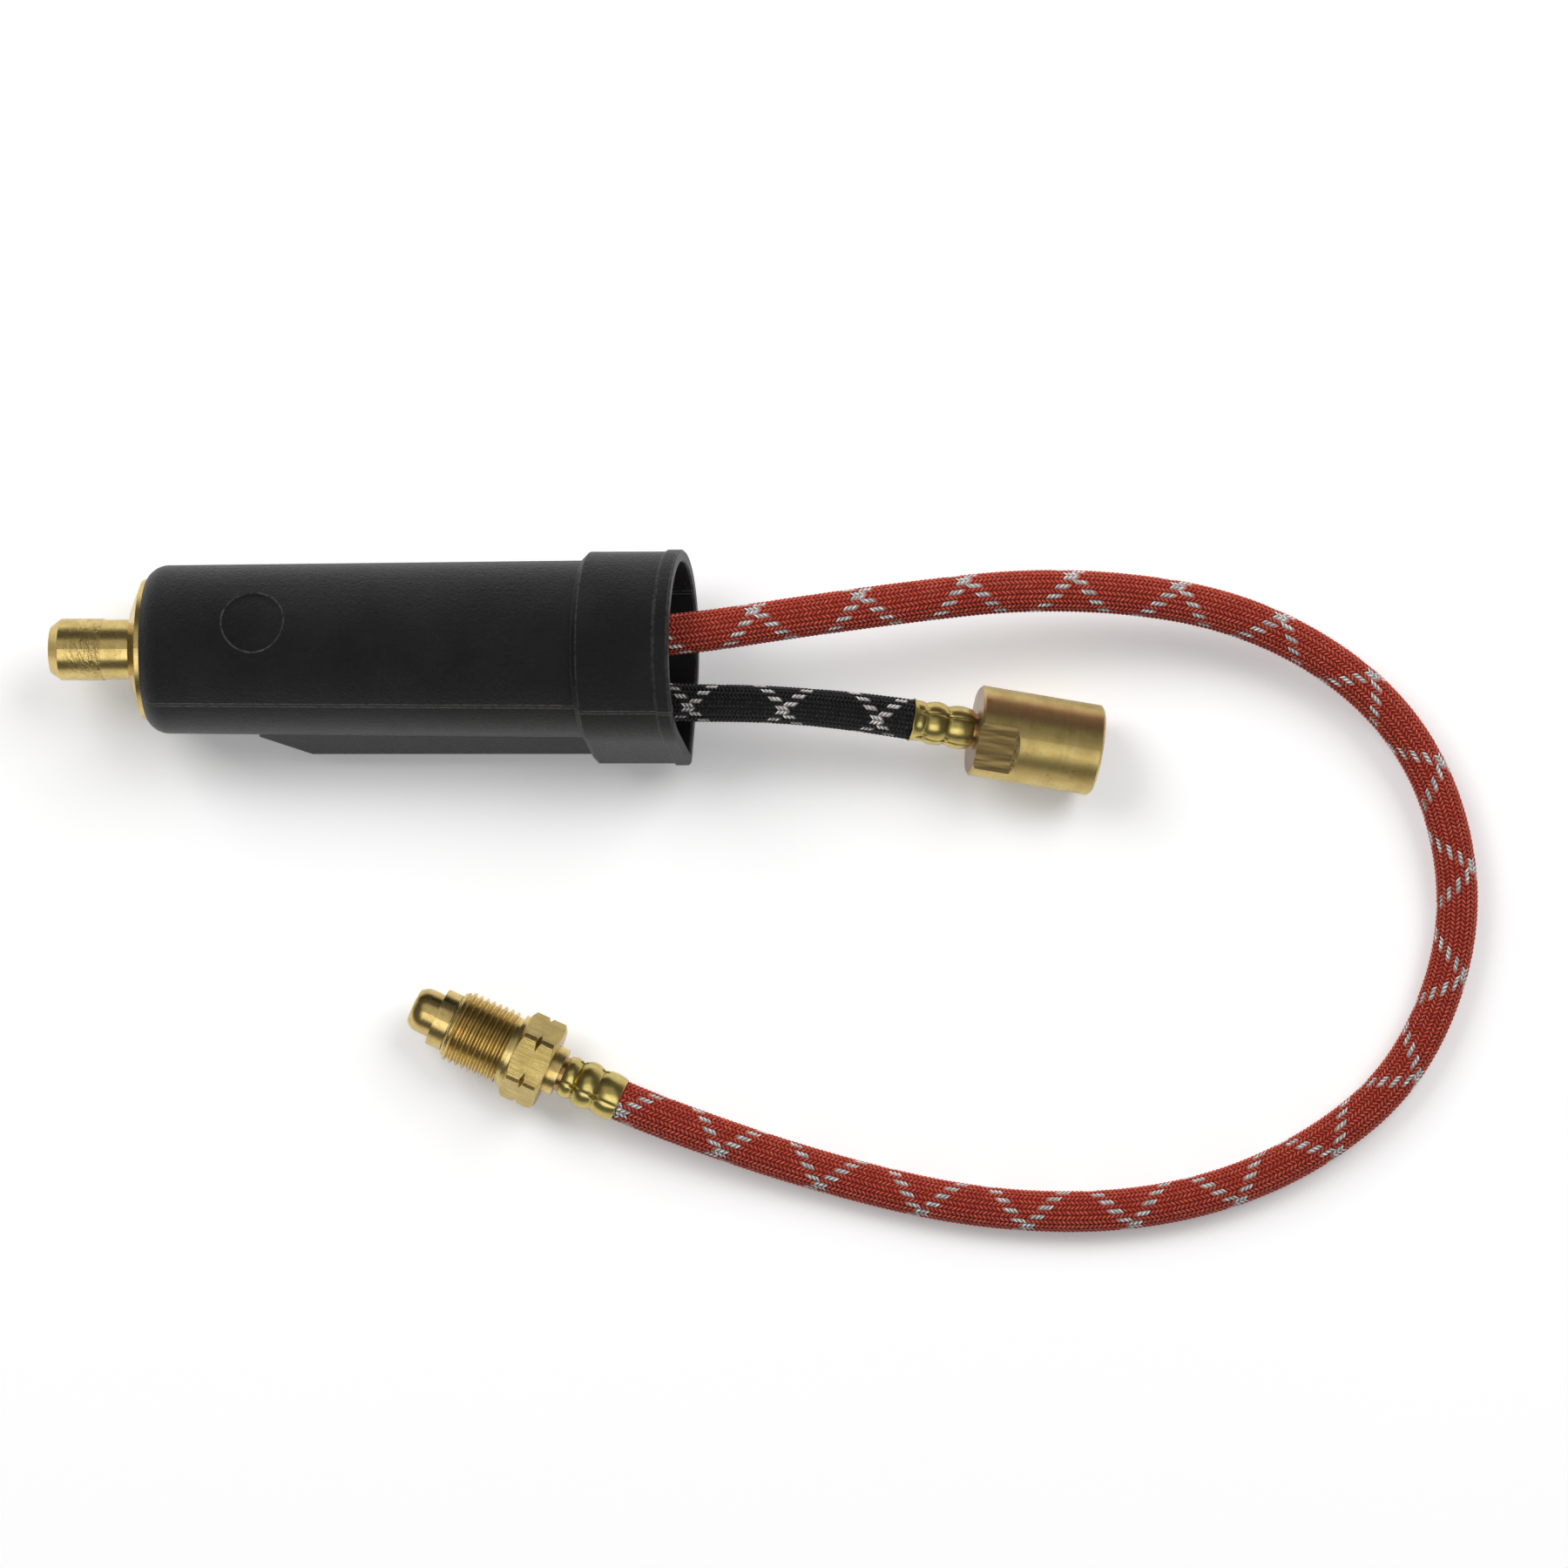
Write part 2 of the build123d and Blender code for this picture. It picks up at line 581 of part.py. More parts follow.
# ================================================================ coupling nut
thread_r = THREAD_DIAMETER / 2
nut_bore_r = stem_r + SLIDE_FIT
first_crest = nut_start + NUT_LEAD
nut_root_r = thread_r - THREAD_DEPTH
last_groove = first_crest + THREAD_PITCH * NUT_THREAD_COUNT
with BuildPart() as coupling_nut:
    nut_points = [(nut_start, nut_bore_r), (nut_start, thread_r - NUT_LEAD_DROP)]
    nut_points += thread_points(first_crest, NUT_THREAD_COUNT, thread_r, nut_root_r)
    nut_points += [
        (last_groove + NUT_UNDERCUT, nut_root_r),
        (last_groove + NUT_UNDERCUT, NUT_SHOULDER_DIAMETER / 2),
        (nut_hex_start, NUT_SHOULDER_DIAMETER / 2),
        (nut_hex_start, nut_bore_r),
    ]
    revolve(outline(stem_plane, nut_points), axis=stem_axis)
    with BuildSketch(section_plane(stem_origin, stem_along, nut_hex_start)):
        RegularPolygon(NUT_FLATS / 2, 6, major_radius=False)
        Circle(nut_bore_r, mode=Mode.SUBTRACT)
    extrude(amount=NUT_HEX_LENGTH)
    # the corners are turned down, and both ends of the hexagon are turned to a bevel
    corner_r = NUT_FLATS / 2 / cos(pi / 6)
    bevel_out = corner_r + 1
    turned_off = [
        (nut_hex_start, NUT_CORNER_DIAMETER / 2),
        (nut_hex_start, bevel_out),
        (nut_end, bevel_out),
        (nut_end, NUT_CORNER_DIAMETER / 2),
    ]
    revolve(outline(stem_plane, turned_off), axis=stem_axis, mode=Mode.SUBTRACT)
    bevel_run = (bevel_out - NUT_FLATS / 2) * NUT_BEVEL / (corner_r - NUT_FLATS / 2)
    front_bevel = [
        (nut_hex_start, NUT_FLATS / 2),
        (nut_hex_start, bevel_out),
        (nut_hex_start + bevel_run, bevel_out),
    ]
    rear_bevel = [
        (nut_end, NUT_FLATS / 2),
        (nut_end, bevel_out),
        (nut_end - bevel_run, bevel_out),
    ]
    revolve(outline(stem_plane, front_bevel), axis=stem_axis, mode=Mode.SUBTRACT)
    revolve(outline(stem_plane, rear_bevel), axis=stem_axis, mode=Mode.SUBTRACT)
    # a V notch across each corner marks the left-hand thread
    notch_at = (nut_hex_start + nut_end) / 2
    notch_slope = NOTCH_WIDTH / 2 / NOTCH_DEPTH
    notch_half = notch_slope * (bevel_out - corner_r + NOTCH_DEPTH)
    notch = [
        (notch_at, corner_r - NOTCH_DEPTH),
        (notch_at - notch_half, bevel_out),
        (notch_at + notch_half, bevel_out),
    ]
    revolve(outline(stem_plane, notch), axis=stem_axis, mode=Mode.SUBTRACT)

# ================================================================ coupler
bore_r = BORE_DIAMETER / 2
bore_root_r = bore_r + THREAD_DEPTH
stem_socket_r = POWER_STEM_DIAMETER / 2
# the upper flat faces up, tilted to the left of the axis
coupler_left = UP.cross(coupler_along).normalized()
coupler_up = coupler_along.cross(coupler_left)
flat_tilt = radians(COUPLER_FLAT_ANGLE)
flat_out = coupler_up * cos(flat_tilt) + coupler_left * sin(flat_tilt)
flat_side = Plane(origin=coupler_origin, x_dir=coupler_along, z_dir=coupler_along.cross(flat_out))
with BuildPart() as power_coupler:
    coupler_points = [
        (0, coupler_r - COUPLER_BEVEL),
        (COUPLER_BEVEL, coupler_r),
        (COUPLER_LENGTH - COUPLER_BEVEL, coupler_r),
        (COUPLER_LENGTH, coupler_r - COUPLER_BEVEL),
        (COUPLER_LENGTH, stem_socket_r),
        (COUPLER_LENGTH - POWER_STEM_DEPTH, stem_socket_r),
        (COUPLER_LENGTH - POWER_STEM_DEPTH, WATERWAY_DIAMETER / 2),
        (bore_depth + SEAT_DEPTH, WATERWAY_DIAMETER / 2),
        (bore_depth, SEAT_DIAMETER / 2),
        (bore_depth, bore_root_r),
    ]
    bore_thread = thread_points(BORE_LEAD, bore_thread_count, bore_r, bore_root_r)
    coupler_points += reversed(bore_thread)
    coupler_points += [(0, bore_root_r)]
    revolve(outline(coupler_plane, coupler_points), axis=coupler_axis)
    # spanner flats open to the rear, each ending in a slope up to the full diameter
    flat_start = COUPLER_LENGTH - COUPLER_FLAT_LENGTH
    flat_r = COUPLER_FLATS / 2
    clear_r = coupler_r + 1
    runout_start = flat_start - COUPLER_FLAT_RUNOUT * (clear_r - flat_r) / (coupler_r - flat_r)
    for side in (1, -1):
        flat_cut = [
            (flat_start, side * flat_r),
            (COUPLER_LENGTH + 1, side * flat_r),
            (COUPLER_LENGTH + 1, side * clear_r),
            (runout_start, side * clear_r),
        ]
        extrude(outline(flat_side, flat_cut), amount=clear_r, both=True, mode=Mode.SUBTRACT)

power_neck_r = POWER_NECK_DIAMETER / 2
power_barb_start = power_ferrule_start + FERRULE_LIP
power_barb_end = power_barb_start + barb_length
with BuildPart() as power_stem:
    power_stem_points = [
        (COUPLER_LENGTH - POWER_STEM_DEPTH, stem_socket_r - SEAT_FIT),
        (COUPLER_LENGTH, stem_socket_r - SEAT_FIT),
        (COUPLER_LENGTH, power_neck_r),
        (power_barb_start, power_neck_r),
    ]
    power_stem_points += barb_points(power_barb_start, 1)
    power_stem_points += [
        (power_barb_end, conductor_bore_r),
        (power_barb_start - CONDUCTOR_INSET, conductor_bore_r),
        (power_barb_start - CONDUCTOR_INSET, NIPPLE_BORE / 2),
        (COUPLER_LENGTH - POWER_STEM_DEPTH, NIPPLE_BORE / 2),
    ]
    revolve(outline(coupler_plane, power_stem_points), axis=coupler_axis)

# ================================================================ hoses
lying = hose_r + FLOOR_GAP
# the bends of the long return hose, from the boot to the bull-nose stem
RETURN_BENDS = [
    (104.0, 10.5, 24.0),
    (145.6, 15.1, 19.2),
    (186.4, 8.8, 12.6),
    (217.8, -14.2, 7.0),
    (228.9, -50.4, lying),
    (218.1, -85.3, lying),
    (193.6, -105.6, lying),
    (163.3, -115.7, lying),
    (128.6, -116.0, lying),
    (93.3, -108.0, lying),
]
RETURN_LEAD_IN = 31.5  # straight hose behind the inner ferrule
RETURN_LEAD = 7.6      # straight hose before the ferrule on the stem
POWER_LEAD_IN = 14.2   # straight hose behind the inner ferrule
POWER_BEND = (53.5, -9.4, 18.7)
POWER_LEAD = 20.0      # straight hose before the ferrule on the coupler

return_start = return_origin + plug_along * (inner_ferrule_end - FERRULE_GRIP)
return_first_bend = return_origin + plug_along * (inner_ferrule_end + RETURN_LEAD_IN)
return_last_bend = stem_origin + stem_along * (stem_ferrule_end + RETURN_LEAD)
return_finish = stem_origin + stem_along * (stem_ferrule_end - FERRULE_GRIP)
return_route = [return_start, return_first_bend]
return_route += [Vector(*point) for point in RETURN_BENDS]
return_route += [return_last_bend, return_finish]

power_start = power_origin + plug_along * (inner_ferrule_end - FERRULE_GRIP)
power_first_bend = power_origin + plug_along * (inner_ferrule_end + POWER_LEAD_IN)
power_last_bend = coupler_origin + coupler_along * (power_ferrule_end + POWER_LEAD)
power_finish = coupler_origin + coupler_along * (power_ferrule_end - FERRULE_GRIP)
power_route = [power_start, power_first_bend, Vector(*POWER_BEND), power_last_bend, power_finish]


def bend_radii(route):
    """The largest arc at each bend that leaves a tenth of the shorter run straight."""
    radii = []
    for before, here, after in zip(route, route[1:], route[2:]):
        turn = (here - before).get_angle(after - here)
        shorter = min((here - before).length, (after - here).length)
        radii.append(0.45 * shorter / tan(radians(turn) / 2))
    return radii


def hose_course(route, radii):
    """Straight runs joined by tangent arcs."""
    with BuildLine() as course:
        FilletPolyline(*route, radius=radii)
    return course.line


def start_plane(route):
    """The plane square to the first run, where a hose's section is drawn."""
    return Plane(origin=route[0], z_dir=route[1] - route[0])


return_radii = bend_radii(return_route)
power_radii = bend_radii(power_route)
# the liners run on under the ferrules to the necks of the barbs
return_liner_route = [return_origin + plug_along * (inner_barb_start + SEAT_FIT)]
return_liner_route += return_route[1:-1]
return_liner_route += [stem_origin + stem_along * (stem_barb_start + SEAT_FIT)]
power_liner_route = [power_origin + plug_along * (inner_barb_start + SEAT_FIT)]
power_liner_route += power_route[1:-1]
power_liner_route += [coupler_origin + coupler_along * (power_barb_start + SEAT_FIT)]
conductor_route = [power_origin + plug_along * (crimp_at + SEAT_FIT)]
conductor_route += power_route[1:-1]
conductor_route += [
    coupler_origin + coupler_along * (power_barb_start - CONDUCTOR_INSET + SEAT_FIT)
]

with BuildPart() as return_hose_braid:
    return_course = hose_course(return_route, return_radii)
    with BuildSketch(start_plane(return_route)):
        Circle(hose_r)
        Circle(liner_r + SEAT_FIT, mode=Mode.SUBTRACT)
    sweep(path=return_course)

with BuildPart() as return_hose_liner:
    return_liner_course = hose_course(return_liner_route, return_radii)
    with BuildSketch(start_plane(return_liner_route)):
        Circle(liner_r)
        Circle(liner_bore_r, mode=Mode.SUBTRACT)
    sweep(path=return_liner_course)

with BuildPart() as power_hose_braid:
    power_course = hose_course(power_route, power_radii)
    with BuildSketch(start_plane(power_route)):
        Circle(hose_r)
        Circle(liner_r + SEAT_FIT, mode=Mode.SUBTRACT)
    sweep(path=power_course)

with BuildPart() as power_hose_liner:
    power_liner_course = hose_course(power_liner_route, power_radii)
    with BuildSketch(start_plane(power_liner_route)):
        Circle(liner_r)
        Circle(liner_bore_r, mode=Mode.SUBTRACT)
    sweep(path=power_liner_course)

with BuildPart() as power_conductor:
    conductor_course = hose_course(conductor_route, power_radii)
    with BuildSketch(start_plane(conductor_route)):
        Circle(CONDUCTOR_DIAMETER / 2)
    sweep(path=conductor_course)

# ================================================================ boot
badge_tilt = radians(BADGE_ANGLE)
badge_out = plug_up * cos(badge_tilt) + plug_left * sin(badge_tilt)
badge_share = (BADGE_ALONG - shoulder_end) / (collar_start - shoulder_end)
badge_floor_r = boot_front_r + BOOT_DRAFT * badge_share - BADGE_DEPTH
badge_centre = plug_origin + plug_along * BADGE_ALONG
with BuildPart() as badge_recess:
    with BuildSketch(Plane(origin=badge_centre, z_dir=badge_out)):
        Circle(BADGE_DIAMETER / 2)
    extrude(amount=boot_rear_r + 1)
    with BuildSketch(section_plane(plug_origin, plug_along, BADGE_ALONG - BADGE_DIAMETER)):
        Circle(badge_floor_r)
    extrude(amount=2 * BADGE_DIAMETER, mode=Mode.SUBTRACT)

keel_dir = radians(KEEL_ANGLE)
keel_out = plug_left * -cos(keel_dir) - plug_up * sin(keel_dir)
keel_side = Plane(origin=plug_origin, x_dir=plug_along, z_dir=plug_along.cross(keel_out))
keel_end = collar_start + COLLAR_BEVEL
cavity_start = rib_end + RIB_RAMP
collar_cavity = collar_start + COLLAR_BEVEL + COLLAR_STEP
body_cavity_end = collar_cavity + CORNER_REACH * sin(slant)
with BuildPart() as boot:
    # tapered body with a rounded shoulder round the flange
    with BuildSketch(plug_plane):
        with BuildLine():
            TangentArc(
                (shoulder_end, boot_front_r), (boot_nose, nose_r + NOSE_EDGE), tangent=(-1, 0)
            )
            Polyline(
                (boot_nose, nose_r + NOSE_EDGE),
                (boot_nose, 0),
                (keel_end, 0),
                (keel_end, boot_rear_r),
                (shoulder_end, boot_front_r),
            )
        make_face()
    revolve(axis=plug_axis)
    # keel that makes room for the power hose; its front end rises along a ramp
    keel = extrude(
        keel_section(section_plane(plug_origin, plug_along, KEEL_START), 0),
        amount=keel_end - KEEL_START,
        mode=Mode.PRIVATE,
    )
    crest_r = boot_front_r + KEEL_RISE
    ramp = outline(
        keel_side,
        [
            (KEEL_START - 1, boot_front_r - KEEL_RISE / KEEL_RUN),
            (KEEL_START + KEEL_RUN, crest_r),
            (KEEL_START + KEEL_RUN, 2 * crest_r),
            (KEEL_START - 1, 2 * crest_r),
        ],
    )
    ramp_block = extrude(ramp, amount=boot_rear_r, both=True, mode=Mode.PRIVATE)
    add(keel - ramp_block)
    # collar, lip and mouth, all slanted
    collar_stations = [
        (collar_start, -COLLAR_BEVEL),
        (collar_start + COLLAR_BEVEL, 0),
        (mouth - LIP_LENGTH - LIP_RISE, 0),
        (mouth - LIP_LENGTH, LIP_RISE),
        (mouth - LIP_EDGE, LIP_RISE),
        (mouth, LIP_RISE - LIP_EDGE),
    ]
    corner_r_plain = CORNER_ROUND - LIP_RISE
    collar_sections = [
        teardrop(mouth_plane(at), collar_r + grow, corner_r_plain + grow)
        for at, grow in collar_stations
    ]
    loft(collar_sections, ruled=True)
    # bore: recess for the flange, rib that grips the barrel, then the open cavity
    cavity_points = [
        (boot_nose - 1, 0),
        (boot_nose - 1, nose_r),
        (rib_start, nose_r),
        (rib_start, rib_r),
        (rib_end, rib_r),
        (cavity_start, boot_front_r - BOOT_WALL),
        (body_cavity_end, boot_rear_r - BOOT_WALL),
        (body_cavity_end, 0),
    ]
    revolve(outline(plug_plane, cavity_points), axis=plug_axis, mode=Mode.SUBTRACT)
    pocket_start = KEEL_START + KEEL_RUN
    extrude(
        keel_section(section_plane(plug_origin, plug_along, pocket_start), BOOT_WALL),
        amount=body_cavity_end - pocket_start,
        mode=Mode.SUBTRACT,
    )
    mouth_sections = [
        teardrop(mouth_plane(at), collar_r - COLLAR_WALL + grow, corner_r_plain - COLLAR_WALL + grow)
        for at, grow in [(collar_cavity, 0), (mouth - LIP_EDGE, 0), (mouth + LIP_EDGE, 2 * LIP_EDGE)]
    ]
    loft(mouth_sections, ruled=True, mode=Mode.SUBTRACT)
    add(badge_recess.part, mode=Mode.SUBTRACT)

# ================================================================ write the pieces
pieces = {
    "boot": boot,
    "connector_plug": connector_plug,
    "manifold_block": manifold_block,
    "manifold_seal": manifold_seal,
    "gallery_plug": gallery_plug,
    "return_nipple": return_nipple,
    "power_nipple": power_nipple,
    "nipple_washers": nipple_washers,
    "return_inner_ferrule": return_inner_ferrule,
    "power_inner_ferrule": power_inner_ferrule,
    "return_hose_braid": return_hose_braid,
    "return_hose_liner": return_hose_liner,
    "power_hose_braid": power_hose_braid,
    "power_hose_liner": power_hose_liner,
    "power_conductor": power_conductor,
    "return_end_ferrule": return_end_ferrule,
    "power_end_ferrule": power_end_ferrule,
    "bull_nose_stem": bull_nose_stem,
    "coupling_nut": coupling_nut,
    "power_coupler": power_coupler,
    "power_stem": power_stem,
}
os.makedirs("parts", exist_ok=True)
for name, piece in pieces.items():
    piece.part.label = name
    export_step(piece.part, f"parts/{name}.step")

print("return hose bend radii", [round(radius, 1) for radius in return_radii])
print("power hose bend radii", [round(radius, 1) for radius in power_radii])
print("return hose length", round(sum(edge.length for edge in return_course.edges()), 1))
print("power hose length", round(sum(edge.length for edge in power_course.edges()), 1))
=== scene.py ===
import bmesh
import bpy
import json
import numpy as np
from math import cos, pi, radians, sin, sqrt
from mathutils import Matrix, Vector


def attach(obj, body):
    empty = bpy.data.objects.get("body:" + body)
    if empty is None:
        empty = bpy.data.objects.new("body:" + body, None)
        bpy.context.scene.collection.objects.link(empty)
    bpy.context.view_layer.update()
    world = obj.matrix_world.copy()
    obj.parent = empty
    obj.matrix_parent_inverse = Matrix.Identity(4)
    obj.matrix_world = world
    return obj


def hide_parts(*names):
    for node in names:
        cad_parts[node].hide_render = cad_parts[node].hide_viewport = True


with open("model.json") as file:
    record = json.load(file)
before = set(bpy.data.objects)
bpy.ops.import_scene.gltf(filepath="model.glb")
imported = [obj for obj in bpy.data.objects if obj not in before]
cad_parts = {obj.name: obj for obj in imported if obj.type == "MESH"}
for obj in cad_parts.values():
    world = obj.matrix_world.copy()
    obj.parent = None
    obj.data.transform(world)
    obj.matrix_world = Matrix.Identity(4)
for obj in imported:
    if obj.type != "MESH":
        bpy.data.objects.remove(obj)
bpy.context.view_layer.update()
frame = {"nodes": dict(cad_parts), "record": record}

MM = 0.001
UP = Vector((0, 0, 1))
scene = bpy.context.scene
scene.view_settings.view_transform = "Standard"

# ================================================================ axes of the three fittings
mounts = {mount["name"]: mount for mount in frame["record"]["mounts"]}


def fitting(name, offset):
    """Origin and direction of a fitting's axis, from a mount on it, offset mm from the origin."""
    mount = mounts[name]
    along = -Vector(mount["axis"]).normalized()
    return Vector(mount["pos_m"]) - along * offset * MM, along


plug_origin, plug_along = fitting("plug_pin", -10.9)
stem_origin, stem_along = fitting("nut_thread", 15.427)
coupler_origin, coupler_along = fitting("coupler_thread", 6.027)
plug_left = UP.cross(plug_along).normalized()
plug_up = plug_along.cross(plug_left)
RETURN_PORT = (0.6, 6.1)
POWER_PORT = (-6.0, -2.2)
INNER_FERRULE_START = 57.0
FERRULE_LENGTH = 12.9
FERRULE_GRIP = 2.6
STEM_FERRULE_START = 34.689
COUPLER_FERRULE_START = 26.6


def port_point(port, along_mm):
    """A point on one of the plug's two port axes."""
    across = plug_left * port[0] + plug_up * port[1]
    return plug_origin + (across + plug_along * along_mm) * MM


def axis_frame(origin, along):
    """Matrix whose X runs along an axis and whose Z is as near up as it can be."""
    left = UP.cross(along).normalized()
    upward = along.cross(left)
    turn = Matrix((along, left, upward)).transposed().to_4x4()
    return Matrix.Translation(origin) @ turn


plug_frame = axis_frame(plug_origin, plug_along)
stem_frame = axis_frame(stem_origin, stem_along)
coupler_frame = axis_frame(coupler_origin, coupler_along)
return_port_frame = axis_frame(port_point(RETURN_PORT, 0), plug_along)
power_port_frame = axis_frame(port_point(POWER_PORT, 0), plug_along)

# ================================================================ camera
view_target = Vector((0.0852, -0.0263, 0.0))
VIEW_DISTANCE = 1.5125
VIEW_SIDE = radians(3.0)
camera_data = bpy.data.cameras.new("studio_camera")
camera_data.lens = 165
camera_data.sensor_width = 36
camera_data.clip_end = 20
camera = bpy.data.objects.new("studio_camera", camera_data)
scene.collection.objects.link(camera)
camera.location = view_target + VIEW_DISTANCE * Vector((sin(VIEW_SIDE), 0, cos(VIEW_SIDE)))
looking = (view_target - camera.location).normalized()
right_hand = looking.cross(Vector((0, 1, 0))).normalized()
head_up = right_hand.cross(looking)
camera.rotation_euler = Matrix((right_hand, head_up, -looking)).transposed().to_euler()
scene.camera = camera


# ================================================================ material kit
class Mat:
    """A node material with a Principled shader and short calls for its nodes."""

    def __init__(self, name, **constants):
        self.material = bpy.data.materials.new(name)
        self.material.use_nodes = True
        self.tree = self.material.node_tree
        self.tree.nodes.clear()
        out = self.tree.nodes.new("ShaderNodeOutputMaterial")
        self.shader = self.tree.nodes.new("ShaderNodeBsdfPrincipled")
        self.tree.links.new(self.shader.outputs[0], out.inputs[0])
        for key, value in constants.items():
            self.set(key.replace("_", " "), value)

    def put(self, socket, value):
        if isinstance(value, bpy.types.NodeSocket):
            self.tree.links.new(value, socket)
        elif isinstance(value, (tuple, list)) and socket.type == "RGBA":
            socket.default_value = (*value[:3], 1)
        else:
            socket.default_value = value

    def set(self, name, value):
        self.put(self.shader.inputs[name], value)

    def add(self, kind, **properties):
        node = self.tree.nodes.new("ShaderNode" + kind)
        for key, value in properties.items():
            setattr(node, key, value)
        return node

    def math(self, operation, *values):
        node = self.add("Math", operation=operation)
        for socket, value in zip(node.inputs, values):
            self.put(socket, value)
        return node.outputs[0]

    def position(self):
        return self.add("TexCoord").outputs["Object"]

    def local(self, matrix):
        """Coordinates in the frame of an axis, in mm: x along it."""
        node = self.add("Mapping", vector_type="TEXTURE")
        self.put(node.inputs["Vector"], self.position())
        self.put(node.inputs["Location"], tuple(matrix.to_translation()))
        self.put(node.inputs["Rotation"], tuple(matrix.to_euler()))
        self.put(node.inputs["Scale"], (MM, MM, MM))
        return node.outputs[0]

    def split(self, vector):
        node = self.add("SeparateXYZ")
        self.put(node.inputs[0], vector)
        return node.outputs[0], node.outputs[1], node.outputs[2]

    def join(self, x, y, z):
        node = self.add("CombineXYZ")
        for socket, value in zip(node.inputs, (x, y, z)):
            self.put(socket, value)
        return node.outputs[0]

    def noise(self, vector, scale, detail=2.0, roughness=0.5, w=None, distortion=0.0):
        node = self.add("TexNoise", noise_dimensions="3D" if w is None else "4D")
        self.put(node.inputs["Vector"], vector)
        self.put(node.inputs["Scale"], scale)
        self.put(node.inputs["Detail"], detail)
        self.put(node.inputs["Roughness"], roughness)
        self.put(node.inputs["Distortion"], distortion)
        if w is not None:
            self.put(node.inputs["W"], w)
        return node.outputs[0]

    def noise_vector(self, vector, scale, amount):
        """A vector pushed about by noise, so that a pattern on it is uneven."""
        node = self.add("TexNoise", noise_dimensions="3D")
        self.put(node.inputs["Vector"], vector)
        self.put(node.inputs["Scale"], scale)
        push = self.add("VectorMath", operation="MULTIPLY_ADD")
        self.put(push.inputs[0], node.outputs["Color"])
        push.inputs[1].default_value = (amount, amount, amount)
        self.put(push.inputs[2], vector)
        return push.outputs[0]

    def cells(self, vector, scale):
        """Distance to the nearest of many scattered points, without sharp ridges."""
        node = self.add("TexVoronoi", feature="SMOOTH_F1")
        self.put(node.inputs["Vector"], vector)
        self.put(node.inputs["Scale"], scale)
        return node.outputs["Distance"]

    def steps(self, value, low, high, from_low=0.0, from_high=1.0):
        """value between from_low and from_high, eased into low to high."""
        node = self.add("MapRange", interpolation_type="SMOOTHSTEP")
        self.put(node.inputs["Value"], value)
        self.put(node.inputs["From Min"], from_low)
        self.put(node.inputs["From Max"], from_high)
        self.put(node.inputs["To Min"], low)
        self.put(node.inputs["To Max"], high)
        return node.outputs[0]

    def add_mix(self, share, a, b):
        """Two values in one, share of it from b."""
        return self.math("MULTIPLY_ADD", b, share, self.math("MULTIPLY", a, 1.0 - share))

    def mix(self, share, a, b):
        """Two colours in one, share of it from b."""
        node = self.add("Mix", data_type="RGBA")
        self.put(node.inputs[0], share)
        self.put(node.inputs[6], a)
        self.put(node.inputs[7], b)
        return node.outputs[2]

    def bump(self, height, distance, strength=1.0, normal=None):
        node = self.add("Bump")
        self.put(node.inputs["Height"], height)
        self.put(node.inputs["Distance"], distance)
        self.put(node.inputs["Strength"], strength)
        if normal is not None:
            self.put(node.inputs["Normal"], normal)
        return node.outputs[0]

    def rounded(self, radius_mm, samples=6):
        """Normals that are rounded over edges."""
        node = self.add("Bevel", samples=samples)
        self.put(node.inputs["Radius"], radius_mm * MM)
        return node.outputs[0]

    def edges(self, radius_mm, low, high):
        """1 along edges within radius_mm, 0 elsewhere. low, high: cosines of the rounded turn."""
        node = self.add("VectorMath", operation="DOT_PRODUCT")
        self.put(node.inputs[0], self.rounded(radius_mm))
        self.put(node.inputs[1], self.add("NewGeometry").outputs["Normal"])
        return self.steps(node.outputs["Value"], 1.0, 0.0, low, high)

    def band(self, value, centre, half, soft):
        """1 where value lies within half of centre, falling to 0 over soft."""
        away = self.math("ABSOLUTE", self.math("SUBTRACT", value, centre))
        return self.steps(away, 1.0, 0.0, half, half + soft)


